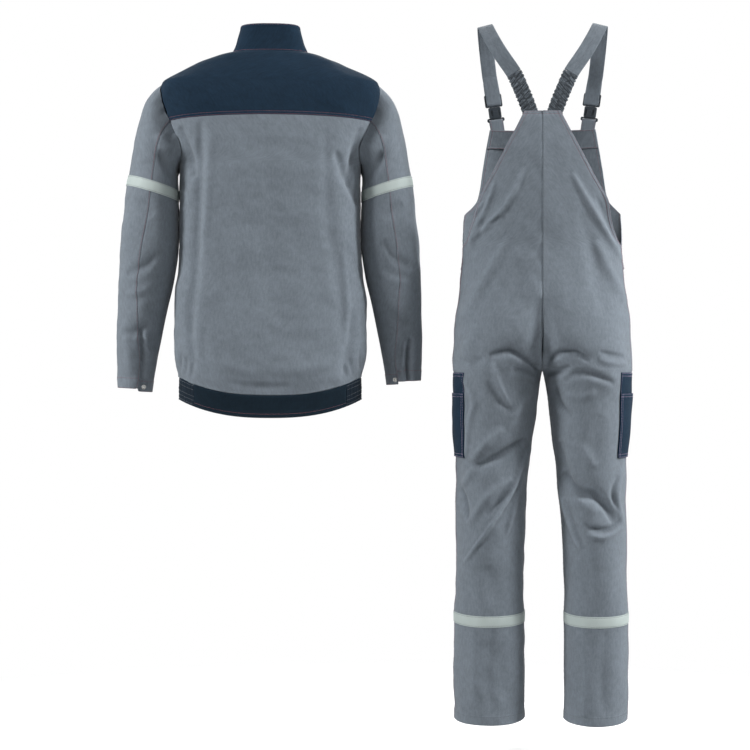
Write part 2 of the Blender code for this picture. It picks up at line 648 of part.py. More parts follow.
def sleeve_pieces(name, side, garment):
    surface = partial(sleeve, side=side)
    mirror = side < 0
    station = np.array(SLEEVE_STATIONS + [UPPER_SLEEVE_END])
    back, front, gap = sleeve_seams(station)
    sheet("sleeve_upper_" + name, surface, spread(front + SLEEVE_SEAM_TURN, back - gap,
                                                  UPPER_COLUMNS), station[:, None],
          SLEEVE_STEPS, BODY_WALL, "cloth_grey", garment, mirror=mirror)
    station = np.array(SLEEVE_STATIONS + [UNDER_SLEEVE_END])
    back, front, gap = sleeve_seams(station)
    sheet("sleeve_under_" + name, surface, spread(back + gap, 360 + front - SLEEVE_SEAM_TURN,
                                                  UNDER_COLUMNS), station[:, None],
          SLEEVE_STEPS, BODY_WALL, "cloth_grey", garment, mirror=mirror)
    station = np.array(SLEEVE_TAPE)
    back, front, _ = sleeve_seams(station)
    ring = np.hstack([spread(front, back, UPPER_COLUMNS)[:, :-1],
                      spread(back, 360 + front, UNDER_COLUMNS)[:, :-1]])
    sheet("sleeve_tape_" + name, surface, ring, station[:, None], SLEEVE_STEPS,
          (ON_BODY, ON_BODY + TAPE), "tape_silver", garment, closed=True, mirror=mirror)


def cuff_snap(name, side, garment):
    """The snap's cap on the under sleeve, beside the vent."""
    surface = partial(sleeve, side=side)
    at = (np.array([SNAP_ANGLE]), np.array([SNAP_STATION]))
    normal = Vector(normals(surface, *at, *SLEEVE_STEPS)[0])
    centre = Vector(surface(*at)[0]) + normal * (SNAP_LIFT + SNAP_HEIGHT / 2)
    for vector in (normal, centre):
        vector.x *= side
    builder = bmesh.new()
    bmesh.ops.create_cone(builder, cap_ends=True, segments=16, radius1=SNAP_RADIUS,
                          radius2=SNAP_RADIUS * 0.8, depth=SNAP_HEIGHT)
    turn = Vector((0, 0, 1)).rotation_difference(normal).to_matrix().to_4x4()
    bmesh.ops.transform(builder, verts=builder.verts, matrix=Matrix.Translation(centre) @ turn)
    finish_object("cuff_snap_" + name, builder, "snap_metal", garment)


def build_jacket(garment):
    jacket_back(garment)
    jacket_yoke(garment)
    jacket_fronts(garment)
    jacket_placket(garment)
    jacket_collar(garment)
    jacket_waistband(garment)
    for name, side in SIDES:
        sleeve_pieces(name, side, garment)
        cuff_snap(name, side, garment)


# --- Overalls -------------------------------------------------------------------------

BACK_COLUMNS = 7
LEG_FRONT_COLUMNS = 6
BIB_COLUMNS = 4                  # in each half
LEG_SEAM_TURN = 0.08
LEG_LEVELS = [LEG_HEM, -1.28, LEG_TAPE[1], LEG_TAPE[0], -1.12, -1.04, -0.96, -0.90,
              POCKET_BOTTOM, -0.773, POCKET_MOUTH, POCKET_TOP, CROTCH_LEVEL]
SEAT_LEVELS = [-0.660, -0.647, -0.626, -0.600, -0.563, -0.521, BIB_SEAM]
BIB_LEVELS = [OPENING_TOP, -0.375, -0.340, -0.305, -0.250, BIB_TOP - BIB_BAND_DEPTH,
              BIB_TOP]


def outer_seam(level):
    """The outer seam's angle, and half of what the pieces stand apart there."""
    open_here = (level < OPENING_TOP - GAP) & (level > OPENING_BOTTOM + GAP)
    return np.full(len(level), OUTER_SEAM), LEG_SEAM_TURN + np.where(open_here, OPENING_GAP / 2, 0)


def inner_seam(level, side):
    """The inseam's angle below the crotch, and that of the centre seam above it."""
    centre = leg_turn_at(SEAM, level, side)
    return np.where(level < CROTCH_LEVEL - GAP, 180.0 - LEG_SEAM_TURN, centre)


def overalls_back(name, side, garment):
    edge = Sections(BACK_EDGE)
    level = np.array(LEG_LEVELS + SEAT_LEVELS + [OPENING_TOP]
                     + [row.level for row in reversed(BACK_EDGE)])
    seam, gap = outer_seam(level)
    free = leg_turn_at(edge.at(level)["half_width"], level, side)
    outer = np.where(level > OPENING_TOP + GAP, free, seam + gap)
    sheet("overalls_back_" + name, partial(legs, side=side),
          spread(outer, inner_seam(level, side), BACK_COLUMNS), level[:, None], LEG_STEPS,
          BODY_WALL, "cloth_grey", garment, mirror=side < 0)


def overalls_front(name, side, garment):
    level = np.array(LEG_LEVELS + SEAT_LEVELS)
    level[-1] -= SEAM
    seam, gap = outer_seam(level)
    sheet("overalls_front_" + name, partial(legs, side=side),
          spread(seam - gap, -inner_seam(level, side), LEG_FRONT_COLUMNS), level[:, None],
          LEG_STEPS, BODY_WALL, "cloth_grey", garment, mirror=side < 0)


def bib_edge_turn(level, side):
    """The bib's edge: the outer seam up to the side opening's top, then its free edge."""
    edge = Sections(BIB_EDGE)
    corner = BIB_EDGE[-1]
    free = -leg_turn_at(edge.at(level)["half_width"], level, side)
    seam, gap = outer_seam(level)
    corner_turn = -leg_turn_at(corner.half_width, corner.level, side)
    share = (level - OPENING_TOP) / (corner.level - OPENING_TOP)
    wing = seam - gap + (corner_turn - seam + gap) * np.clip(share, 0, 1)
    return np.where(level > corner.level + GAP, free, wing)


def bib_sheet(name, level, span, garment):
    """A piece across the centre front: the two halves' grids, joined on the centre line."""
    halves = []
    for side in (-1, 1):
        surface = partial(legs, side=side)
        turn = spread(-leg_turn_at(0.0, level, side), bib_edge_turn(level, side), BIB_COLUMNS)
        points = surface(turn, level[:, None])
        normal = normals(surface, turn, level[:, None], *LEG_STEPS)
        normal[:, 0, 0] = 0.0
        halves.append([(points + normal * height) * np.array([side, 1.0, 1.0])
                       for height in reversed(span)])
    outer, inner = (np.concatenate([left[:, :0:-1], (left[:, :1] + right[:, :1]) / 2,
                                    right[:, 1:]], axis=1)
                    for left, right in zip(*halves))
    return wall(name, outer, inner, "cloth_grey", garment)


def overalls_bib(garment):
    level = np.array([BIB_SEAM + SEAM] + BIB_LEVELS)
    bib_sheet("bib_front", level, BODY_WALL, garment)
    inside = -CLOTH - GAP
    bib_sheet("bib_top_band", level[-2:], (inside - CLOTH, inside), garment)


def leg_ring():
    """The columns of the panels round a leg, for what lies on them."""
    seam = OUTER_SEAM
    back = spread(seam + LEG_SEAM_TURN, 180.0 - LEG_SEAM_TURN, BACK_COLUMNS)[0]
    front = spread(seam - LEG_SEAM_TURN, -180.0 + LEG_SEAM_TURN, LEG_FRONT_COLUMNS)[0]
    return back, front


def leg_tape(name, side, garment):
    back, front = leg_ring()
    turn = np.concatenate([back[:-1], [180.0], 360.0 + front[-2:0:-1]])
    sheet("leg_tape_" + name, partial(legs, side=side), turn[None, :],
          np.array(LEG_TAPE)[:, None], LEG_STEPS, (ON_BODY, ON_BODY + TAPE), "tape_silver",
          garment, closed=True, mirror=side < 0)


def thigh_pocket(name, side, garment):
    """The pocket's backing, and the bag on it from the mouth down."""
    back, front = leg_ring()
    turn = np.concatenate([[POCKET_BACK], back[(back < POCKET_BACK)][::-1],
                           front[(front > POCKET_FRONT) & (front < 0)], [POCKET_FRONT]])
    surface = partial(legs, side=side)
    level = np.array([POCKET_BOTTOM, -0.773, POCKET_MOUTH, POCKET_TOP])
    sheet("pocket_backing_" + name, surface, turn[None, :], level[:, None], LEG_STEPS,
          (POCKET_LIFT, POCKET_LIFT + CLOTH), "cloth_navy", garment, mirror=side < 0)
    on_backing = POCKET_LIFT + CLOTH + GAP
    sheet("pocket_bag_" + name, surface, turn[None, :], level[:-1, None], LEG_STEPS,
          (on_backing, on_backing + CLOTH), "cloth_navy", garment, mirror=side < 0)


# --- Braces and buckles ---------------------------------------------------------------

def square_to(vector, axis):
    """The unit vector nearest to vector that is square to a unit axis."""
    return (vector - axis * vector.dot(axis)).normalized()


# A buckle's own axes: across its width, up its length and outward from the chest, with
# its origin in the bar that the strap turns round.
BUCKLE_CENTRE = Vector((0.1041, 0.0790, -0.0989))
BUCKLE_OUT = Vector((0.309, 0.951, 0.0)).normalized()
BUCKLE_UP = square_to(Vector((0.154, 0.0, 0.988)), BUCKLE_OUT)
BUCKLE_ACROSS = BUCKLE_UP.cross(BUCKLE_OUT)
FRAME_HALF = 0.0192              # half widths of the adjuster frame and the housing
HOUSING_HALF = 0.0130
FRAME_WALL = 0.0012              # half thicknesses
HOUSING_WALL = 0.0036
RAIL = 0.0028
FRAME_TOP = 0.0200               # heights along the buckle
STRAP_BAR = 0.0013
SLOT_BOTTOM = -0.0054
HOUSING_TOP = -0.0078
HOUSING_BOTTOM = -0.0310
LOOP_SLOT = -0.0360
LOOP_BOTTOM = -0.0388
TONGUE_HALF = 0.0100
TONGUE_END = -0.0280
TAB_WIDTH = 0.030
TAB_FOOT = -0.0570               # where the tab meets the bib's top, its two layers together
TAB_FOOT_DEPTHS = (-0.0010, -0.0028)


def buckle_point(across, up, out):
    return BUCKLE_CENTRE + BUCKLE_ACROSS * across + BUCKLE_UP * up + BUCKLE_OUT * out


def cell_solid(name, added, cut, slot, garment, side):
    """One solid from boxes along the buckle's axes: all that is in added and not in cut.

    A box is (across from, to, up from, to, out from, to).
    """
    boxes = added + cut
    lines = [sorted({box[2 * axis + end] for box in boxes for end in (0, 1)})
             for axis in range(3)]
    counts = [len(line) - 1 for line in lines]

    def filled(cell):
        if any(not 0 <= index < count for index, count in zip(cell, counts)):
            return False
        middle = [(line[i] + line[i + 1]) / 2 for line, i in zip(lines, cell)]

        def inside(box):
            return all(box[2 * a] < middle[a] < box[2 * a + 1] for a in range(3))
        return any(map(inside, added)) and not any(map(inside, cut))

    builder = bmesh.new()
    corners = {}

    def corner(index):
        if index not in corners:
            place = buckle_point(*(line[i] for line, i in zip(lines, index)))
            corners[index] = builder.verts.new((place.x * side, place.y, place.z))
        return corners[index]

    for cell in np.ndindex(*counts):
        if not filled(cell):
            continue
        for axis in range(3):
            for end in (0, 1):
                beside = list(cell)
                beside[axis] += 2 * end - 1
                if filled(beside):
                    continue
                first, second = [a for a in range(3) if a != axis]
                ring = []
                for step in ((0, 0), (1, 0), (1, 1), (0, 1)):
                    index = list(cell)
                    index[axis] += end
                    index[first] += step[0]
                    index[second] += step[1]
                    ring.append(corner(tuple(index)))
                builder.faces.new(ring)
    bmesh.ops.dissolve_limit(builder, angle_limit=math.radians(1), verts=builder.verts,
                             edges=builder.edges)
    return finish_object(name, builder, slot, garment, smooth=False)


def buckle(name, side, garment):
    """The adjuster frame with its tongue, and the housing with the loop below it."""
    frame, thick = FRAME_HALF, FRAME_WALL
    window = frame - RAIL
    tongue = (-TONGUE_HALF, TONGUE_HALF, TONGUE_END, SLOT_BOTTOM, -thick, thick)
    cell_solid("buckle_adjuster_" + name,
               [(-frame, frame, HOUSING_TOP + GAP, FRAME_TOP, -thick, thick), tongue],
               [(-window, window, STRAP_BAR, FRAME_TOP - RAIL, -thick, thick),
                (-window, window, SLOT_BOTTOM, -STRAP_BAR, -thick, thick)],
               "plastic_black", garment, side)
    half, deep = HOUSING_HALF, HOUSING_WALL
    socket = (-TONGUE_HALF - GAP, TONGUE_HALF + GAP, TONGUE_END - GAP, HOUSING_TOP,
              -thick - GAP, thick + GAP)
    slot = (-window, window, LOOP_SLOT, HOUSING_BOTTOM - RAIL / 2, -thick, thick)
    cell_solid("buckle_housing_" + name,
               [(-half, half, HOUSING_BOTTOM, HOUSING_TOP, -deep, deep),
                (-frame, frame, LOOP_BOTTOM, HOUSING_BOTTOM, -thick, thick)],
               [socket, slot], "plastic_black", garment, side)


def strap_sections(centres, out):
    """Each point of a strap's route with the strap's way across and its way out there."""
    sections = []
    for index, (centre, outward) in enumerate(zip(centres, out)):
        before = centres[max(index - 1, 0)]
        after = centres[min(index + 1, len(centres) - 1)]
        along = (after - before).normalized()
        outward = square_to(outward, along)
        sections.append((centre, along.cross(outward), outward))
    return sections


def ribbon(name, sections, width, thickness, garment, side):
    """A flat strap through its sections."""
    grids = [[[centre + across * reach + outward * height
               for reach in (-width / 2, width / 2)]
              for centre, across, outward in sections]
             for height in (thickness / 2, -thickness / 2)]
    outer, inner = (np.array(grid) * np.array([side, 1.0, 1.0]) for grid in grids)
    return wall(name, outer, inner, "cloth_grey", garment)


def smooth_route(points, steps):
    """Points on a smooth curve through the route's own, steps to each stretch."""
    points = [Vector(point) for point in points]
    ends = [points[0] * 2 - points[1]] + points + [points[-1] * 2 - points[-2]]
    route = []
    for a, b, c, d in zip(ends, ends[1:], ends[2:], ends[3:]):
        for step in range(steps):
            t = step / steps
            route.append(0.5 * (2 * b + (c - a) * t + (2 * a - 5 * b + 4 * c - d) * t * t
                                + (3 * b - a - 3 * c + d) * t ** 3))
    return route + [points[-1]]


def turned_round(bar, radius, to_angle, steps):
    """Points half round a line across the buckle, starting outward of it."""
    angles = [to_angle * step / steps for step in range(steps + 1)]
    out = [BUCKLE_UP * math.sin(a) + BUCKLE_OUT * math.cos(a) for a in angles]
    centre = buckle_point(0.0, bar, 0.0)
    return [centre + way * radius for way in out], out


TURN_STEPS = 6
BODY_AXIS_SHARE = 0.8            # how far out from the centre line the straps' hints start
BODY_AXIS_LEVEL = -0.04


def body_inward(point):
    """The inner way of a strap: toward a line inside the shoulders, level below that."""
    return Vector((BODY_AXIS_SHARE * point.x - point.x, -point.y,
                   min(BODY_AXIS_LEVEL - point.z, 0.0)))


def brace(name, side, garment):
    """The strap, turned up round its bar at the front, and the elastic piece at the back."""
    radius = FRAME_WALL + GAP + WEBBING / 2
    turn, turn_out = turned_round(-STRAP_BAR, radius, -math.pi, TURN_STEPS)
    tail = [buckle_point(0.0, STRAP_TAIL * share, radius) for share in (1.0, 0.5)]
    rise = [buckle_point(0.0, FRAME_TOP + WEBBING, -radius)]
    route = smooth_route(STRAP_ROUTE + ELASTIC_ROUTE, 2)
    centres = tail + turn + rise + route
    out = [BUCKLE_OUT] * 2 + turn_out + [-BUCKLE_OUT] + [body_inward(p) for p in route]
    sections = strap_sections(centres, out)
    join = len(centres) - 2 * len(ELASTIC_ROUTE)
    ribbon("strap_" + name, sections[:join], STRAP_WIDTH, WEBBING, garment, side)
    centre, across, outward = sections[join - 1]
    start = centre + outward.cross(across) * GAP
    ribbon("strap_elastic_" + name, [(start, across, outward)] + sections[join:],
           STRAP_WIDTH, ELASTIC_WALL, garment, side)


def bib_tab(name, side, garment):
    """The cloth tab on the bib's top, turned round the loop's lower bar."""
    bar = (LOOP_SLOT + LOOP_BOTTOM) / 2
    radius = math.hypot(LOOP_SLOT - bar, FRAME_WALL) + GAP + CLOTH / 2
    centres, out = turned_round(bar, radius, math.pi, TURN_STEPS)
    foot = [buckle_point(0.0, TAB_FOOT, height) for height in TAB_FOOT_DEPTHS]
    centres = [foot[0]] + centres + [foot[1]]
    sections = strap_sections(centres, [BUCKLE_OUT] + out + [-BUCKLE_OUT])
    ribbon("bib_tab_" + name, sections, TAB_WIDTH, CLOTH, garment, side)


def build_overalls(garment):
    overalls_bib(garment)
    for name, side in SIDES:
        overalls_back(name, side, garment)
        overalls_front(name, side, garment)
        leg_tape(name, side, garment)
        thigh_pocket(name, side, garment)
        buckle(name, side, garment)
        brace(name, side, garment)
        bib_tab(name, side, garment)


def main():
    clear_scene()
    build_jacket(garment_frame("jacket_frame", 0.0, JACKET_TURN))
    build_overalls(garment_frame("overalls_frame", OVERALLS_CENTRE, OVERALLS_TURN))


main()
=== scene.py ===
"""Looks of the two-piece welding suit: cloth shells, seams and stitching, creases, braces and
buckles, the stage, lights and camera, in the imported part's frame.

Constants and functions are in metres and degrees. The rows given to table() and creases()
are in millimetres. Colours are linear red, green and blue.

The cloth lies on the same surfaces as the part's solids: torso(), collar() and sleeve() for
the jacket and legs() for the overalls, each in its garment's own frame. A piece of cloth is a
fine grid on its surface, lifted by its relief: creases, gathers, seams and stitch rows.
"""
import json
import math
from collections import namedtuple
from functools import partial

import bpy
import numpy as np
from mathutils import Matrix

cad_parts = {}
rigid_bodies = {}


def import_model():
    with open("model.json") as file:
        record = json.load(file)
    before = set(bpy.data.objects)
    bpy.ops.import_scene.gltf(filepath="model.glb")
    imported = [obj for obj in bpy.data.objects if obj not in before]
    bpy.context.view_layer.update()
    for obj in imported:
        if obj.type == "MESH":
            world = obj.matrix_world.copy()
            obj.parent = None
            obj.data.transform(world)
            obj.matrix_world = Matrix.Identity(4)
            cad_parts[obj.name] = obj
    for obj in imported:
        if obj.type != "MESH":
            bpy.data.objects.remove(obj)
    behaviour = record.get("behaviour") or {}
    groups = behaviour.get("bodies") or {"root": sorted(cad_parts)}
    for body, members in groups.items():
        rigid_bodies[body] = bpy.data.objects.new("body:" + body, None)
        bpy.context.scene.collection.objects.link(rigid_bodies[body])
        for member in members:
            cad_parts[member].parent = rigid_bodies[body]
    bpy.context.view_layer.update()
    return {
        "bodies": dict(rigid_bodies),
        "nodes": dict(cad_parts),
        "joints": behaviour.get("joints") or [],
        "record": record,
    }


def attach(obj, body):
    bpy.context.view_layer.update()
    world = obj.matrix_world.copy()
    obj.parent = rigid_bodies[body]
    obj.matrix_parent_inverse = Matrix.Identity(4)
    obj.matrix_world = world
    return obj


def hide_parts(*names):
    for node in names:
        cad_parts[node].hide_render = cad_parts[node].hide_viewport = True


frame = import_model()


def table(kind, rows, plain=()):
    """A table's named rows, which are written in millimetres; plain columns are no lengths."""
    units = [1.0 if field in plain else 1000.0 for field in kind._fields]
    return [kind(*(value / unit for value, unit in zip(row, units))) for row in rows]


Crease = namedtuple("Crease", "path half_width height skew")


def creases(rows):
    """Creases along paths of (distance from the centre line, height), seen from behind.

    A row gives half the width, the height (a trough's is below 0) and the skew, then the
    path's points one after the other, in millimetres.
    """
    return [Crease(np.reshape(path, (-1, 2)) / 1000, half_width / 1000, height / 1000, skew)
            for half_width, height, skew, *path in rows]


# --- The garments' sizes, as in the part ----------------------------------------------

OVERALLS_CENTRE = 0.5715     # from the jacket's centre line to that of the overalls
JACKET_TURN = 2.5            # degrees about Z by which each garment is turned to the other
OVERALLS_TURN = -4.0
CLOTH = 0.0014               # wall of the body cloth
TAPE = 0.0009                # wall of the reflective tape
WEBBING = 0.0022             # wall of the brace straps, two layers of cloth
GAP = 0.0003                 # between neighbouring pieces
SEAM = GAP / 2               # what each of two pieces gives up along their seam
SIDES = (("right", 1), ("left", -1))

# Jacket torso. A level is the height of a section at its sides; a rise lifts or drops the
# section's centre at the back or the front.
SQUARENESS = 2.5             # superellipse exponent of the torso's sections
SIDE_SEAM = 94.0             # degrees from the centre back to the side and shoulder seams
NECK_LEVEL = -0.0045
YOKE_LEVEL = -0.152
HEM_LEVEL = -0.6825
BAND_BOTTOM = -0.7290

TorsoRow = namedtuple("TorsoRow", "level half_width back_depth front_depth back_rise front_rise")
TORSO_ROWS = table(TorsoRow, [
    (-4.5, 79, 62, 70, 0, -55),
    (-9.5, 104.5, 68, 75.5, 0, -52),
    (-19.5, 133.5, 76.5, 82, 0, -47),
    (-34.5, 166, 86, 88.5, 0, -40),
    (-50.5, 199.5, 94, 95, 0, -32),
    (-67, 225.5, 101, 101, 1, -24),
    (-90, 231, 108, 110, 3, -12),
    (-115, 229, 112, 117, 5, -4),
    (-152, 220, 116, 125, 9, 0),
    (-196, 206, 118, 131, 5, 0),
    (-240, 191.5, 118, 133, 2, 0),
    (-285, 190.5, 117, 133, 0, 0),
    (-400, 190.3, 113, 132, 0, 0),
    (-460, 193.5, 112, 132, 0, 0),
    (-520, 201, 113, 133, -1, 0),
    (-580, 202, 115, 134, -6, -1),
    (-630, 201.5, 117, 134, -18, -4),
    (-660, 197, 116, 132, -31, -9),
    (-682.5, 191, 111, 127, -37.5, -12),
    (-729, 191, 110, 126, -37.5, -12),
])

# The armhole's seam, from the shoulder point down to the armpit: how far it runs behind
# and in front of the side seam's angle, in degrees.
ArmholeRow = namedtuple("ArmholeRow", "level behind before")
ARMHOLE_ROWS = table(ArmholeRow, [
    (-67, 0, 0),
    (-75, 7.5, 9),
    (-91, 14.5, 20),
    (-117, 19.5, 30),
    (1000 * YOKE_LEVEL, 25, 38),
    (-178, 28.5, 41),
    (-200, 30.5, 40),
    (-219, 27, 34),
    (-233, 18, 21),
    (-240, 0, 0),
], plain=("behind", "before"))
ARMHOLE_STEPS = len(ARMHOLE_ROWS) - 1
ARMHOLE_STEP_ANGLE = 180.0 / ARMHOLE_STEPS

# Sleeves. A station is the way down the arm; each section runs from an outer to an inner
# point, seen from behind. The two seams are angles round the section, from its outer point
# backward.
SleeveRow = namedtuple("SleeveRow", "station outer_x outer_z inner_x inner_z middle_y "
                       "half_depth back_seam front_seam")
SLEEVE_ROWS = table(SleeveRow, [
    (0, 225.5, -67, 191.5, -240, 2, 70, 80, -120),
    (22, 243.6, -84, 193, -248, 2, 76, 84, -119),
    (50, 260.5, -108, 193.5, -256, 2, 80, 87, -118),
    (90, 274, -145, 193, -266, 2, 82, 89, -117),
    (150, 286.5, -205, 192.5, -279, 2, 82, 90, -116),
    (205, 296, -260.4, 192, -292, 3, 80, 90, -115),
    (228, 300, -282.5, 192, -315, 3, 79, 89, -114),
    (290, 306.6, -345, 192.2, -372, 4, 76, 84, -112),
    (358, 314, -415, 194.5, -430, 7, 73, 77, -110),
    (412, 318, -470, 201.6, -480, 10, 69, 75, -110),
    (472, 320.5, -530, 215, -537, 15, 64, 82, -110),
    (542, 322.5, -600, 229, -604, 21, 57, 92, -110),
    (602, 323, -660, 240.5, -662, 27, 51, 106, -110),
    (645, 321.3, -702, 247.8, -705.6, 31, 47, 106, -110),
    (656, 320.9, -712.5, 249, -716, 32, 47, 106, -110),
], plain=("back_seam", "front_seam"))
UPPER_SLEEVE_END = 0.648
UNDER_SLEEVE_END = 0.654         # the under sleeve hangs lower at the cuff's vent
SLEEVE_TAPE = (0.205, 0.228)     # stations of the reflective tape's edges
ARMHOLE_BLEND = 0.11             # station at which the sleeve leaves the armhole's own outline
CUFF_VENT = 0.585                # station where the back seam is left open
RIGHT_CUFF_SWING = -0.003        # the right cuff hangs closer to the body, and higher
RIGHT_CUFF_LIFT = 0.015

# Collar: sections from its seam to its top edge.
CollarRow = namedtuple("CollarRow", "share half_width back_depth front_depth level front_rise")
COLLAR_ROWS = table(CollarRow, [
    (0, 79, 62, 70, -4, -55),
    (0.3, 72.5, 60, 68, 12, -55),
    (0.7, 66.2, 58.5, 66, 35, -55.5),
    (1, 61.2, 57.5, 64, 52.5, -56),
], plain=("share",))

# Overalls: each leg's sections, seen from behind. Above the crotch an inner value below 0
# says how far the section would run past the centre seam that it is cut off at.
LegRow = namedtuple("LegRow", "level left_inner left_outer right_inner right_outer "
                    "back_depth front_depth")
LEG_ROWS = table(LegRow, [
    (-130, -160, 160, -160, 160, 88, 86),
    (-160, -163, 165, -163, 164, 95, 94),
    (-230, -165, 168, -165, 166, 103, 104),
    (-316, -162, 168, -162, 166, 103, 107),
    (-345, -160, 167.5, -160, 165.5, 102, 107),
    (-412, -153, 167.5, -153, 165.5, 101, 107),
    (-458, -141, 171, -141, 169, 105, 109),
    (-521, -115, 177.5, -115, 175.5, 115, 114),
    (-563, -90, 185, -90, 182, 122.5, 118),
    (-600, -64, 186.5, -64, 184, 127, 119),
    (-626, -42, 187, -42, 186, 127, 117),
    (-647, -21, 188, -21, 187.5, 123, 113),
    (-660, -7.5, 188.5, -7.5, 188, 119, 110),
    (-667, 0, 188.5, 0, 188, 117, 108),
    (-673, 3, 187, 3, 186.5, 115.5, 106.5),
    (-715.5, 9, 186.2, 9.5, 183.8, 108, 100),
    (-773, 15, 186, 16, 181, 103, 95),
    (-848, 26.5, 182.2, 25.5, 175, 98, 91),
    (-900, 31.5, 182, 30.5, 174, 94, 89),
    (-960, 34.5, 181.7, 37, 175, 90, 89),
    (-1040, 37.8, 181.7, 42.5, 176, 86, 84),
    (-1120, 39, 182, 45, 177.5, 83, 79),
    (-1172, 38.5, 185, 45, 179, 81, 77),
    (-1195, 38, 185.5, 45, 179.5, 80.5, 76.5),
    (-1280, 37.8, 186, 45, 179, 79, 75),
    (-1396.5, 37.8, 186, 45, 177.5, 77, 74),
])
CROTCH_LEVEL = -0.6670
LEG_HEM = -1.3965
LEG_TAPE = (-1.1720, -1.1950)
LEG_SLANT = 0.11                 # the hem drops toward the back by this share of its depth
SLANT_START = -0.70
OUTER_SEAM = 8.0                 # degrees behind the side: the overalls' outer seam
OPENING_TOP = -0.4120            # the side opening, an unsewn stretch of the outer seam
OPENING_BOTTOM = -0.5480
OPENING_GAP = 1.2                # degrees that the opening stands apart
BIB_SEAM = -0.4580               # where the bib is sewn to the front legs
BIB_TOP = -0.1555
BACK_TOP = -0.1320
BIB_BAND_DEPTH = 0.040

PanelEdge = namedtuple("PanelEdge", "level half_width")
BIB_EDGE = table(PanelEdge, [
    (1000 * BIB_TOP, 112.3),
    (-229, 125.5),
    (-305, 138),
    (-340, 164),
])
BACK_EDGE = table(PanelEdge, [
    (1000 * BACK_TOP, 37.5),
    (-140, 41.2),
    (-195, 70),
    (-255, 101.5),
    (-315, 132.5),
    (-344, 139.5),
    (-373, 147),
    (-397, 155),
])

# Thigh pockets, centred a little in front of the outer seam.
POCKET_BACK = 44.0               # degrees round the leg, backward
POCKET_FRONT = -66.0
POCKET_LIFT = 0.0005
POCKET_FULLNESS = 0.0010
POCKET_TOP = -0.6730
POCKET_MOUTH = -0.7155
POCKET_BOTTOM = -0.8480

# Braces. The route of the right-hand strap, from the buckle over the shoulder to the back.
STRAP_WIDTH = 0.032
ELASTIC_WALL = 0.0030
STRAP_TAIL = 0.045               # the strap's free end, turned up round the buckle's bar
STRAP_ROUTE = [
    (0.1130, 0.0760, -0.0420),
    (0.1180, 0.0640, 0.0030),
    (0.1208, 0.0380, 0.0360),
    (0.1215, 0.0110, 0.0530),
    (0.1195, -0.0150, 0.0525),
    (0.1090, -0.0440, 0.0290),
    (0.0890, -0.0670, -0.0080),
    (0.0640, -0.0820, -0.0460),
]
ELASTIC_ROUTE = [                # from the strap's end to inside the back panel's top
    (0.0550, -0.0855, -0.0620),
    (0.0450, -0.0870, -0.0850),
    (0.0345, -0.0860, -0.1100),
    (0.0262, -0.0832, -0.1325),
    (0.0200, -0.0868, -0.1520),
]

# The largest folds on the back of each side, right (1) and left (-1).
LEG_FOLDS = {
    1: creases([
        (20, -5.5, 0, 12, -622, 90, -645, 170, -652),
        (22, 4, 0, 60, -682, 155, -692),
        (24, -7, 0, 40, -890, 104, -922, 145, -965),
        (24, 4, 0, 45, -945, 100, -990),
    ]),
    -1: creases([
        (20, -5, 0, 34, -627, 112, -638),
        (24, 4, 0, 150, -672, 70, -745),
        (22, -6, 0, 38, -820, 140, -862),
        (22, 4.5, 0, 42, -860, 81, -935, 117, -993, 156, -1060),
    ]),
}
SLEEVE_FOLDS = {
    1: creases([
        (22, -4, 0, 225, -455, 300, -500),
        (22, -4, 0, 245, -560, 310, -610),
    ]),
    -1: creases([
        (22, -4, 0, 220, -480, 300, -520),
        (22, -4.5, 0, 250, -590, 312, -560),
    ]),
}

# --- Smooth curves through the tables -------------------------------------------------

class Sections:
    """Smooth curves through a table's rows, one for each column, against its first column."""

    def __init__(self, rows):
        grid = np.array(sorted(rows), dtype=float)
        self.names = rows[0]._fields[1:]
        self.knots = grid[:, 0]
        self.values = grid[:, 1:]
        self.slopes = self.even_slopes()

    def even_slopes(self):
        """Slopes that never overshoot a row: zero at a peak, a harmonic mean elsewhere."""
        steps = np.diff(self.knots)[:, None]
        rates = np.diff(self.values, axis=0) / steps
        slopes = np.zeros_like(self.values)
        slopes[0], slopes[-1] = rates[0], rates[-1]
        before, after = rates[:-1], rates[1:]
        same_way = before * after > 0
        total = np.where(same_way, before + after, 1.0)
        slopes[1:-1] = np.where(same_way, 2.0 * before * after / total, 0.0)
        return slopes

    def at(self, position):
        """The columns at any position, or array of positions, by name."""
        position = np.asarray(position, dtype=float)
        last = len(self.knots) - 2
        start = np.clip(np.searchsorted(self.knots, position, side="right") - 1, 0, last)
        step = self.knots[start + 1] - self.knots[start]
        t = np.clip((position - self.knots[start]) / step, 0.0, 1.0)
        columns = {}
        for index, name in enumerate(self.names):
            low, high = self.values[start, index], self.values[start + 1, index]
            leave, arrive = self.slopes[start, index] * step, self.slopes[start + 1, index] * step
            columns[name] = (low * (1 + 2 * t) * (1 - t) ** 2 + leave * t * (1 - t) ** 2
                             + high * t * t * (3 - 2 * t) - arrive * t * t * (1 - t))
        return columns


TORSO = Sections(TORSO_ROWS)
SLEEVE = Sections(SLEEVE_ROWS)
COLLAR = Sections(COLLAR_ROWS)
LEGS = Sections(LEG_ROWS)
ARMHOLE = Sections([type(row)(step, *row[1:]) for step, row in enumerate(ARMHOLE_ROWS)])
ARMHOLE_LEVEL = np.array([row.level for row in ARMHOLE_ROWS])


def smooth_step(t):
    t = np.clip(t, 0.0, 1.0)
    return t * t * (3 - 2 * t)


def bell(distance, width):
    """A smooth bump: 1 at no distance, faded out at about twice its width."""
    return np.exp(-(distance / width) ** 2)


def signed_power(value, power):
    return np.sign(value) * np.abs(value) ** power


def unit(vector):
    return vector / np.linalg.norm(vector, axis=-1, keepdims=True)


def square_to(vector, axis):
    """The unit vector nearest to vector that is square to a unit axis."""
    return unit(vector - axis * np.sum(vector * axis, axis=-1, keepdims=True))


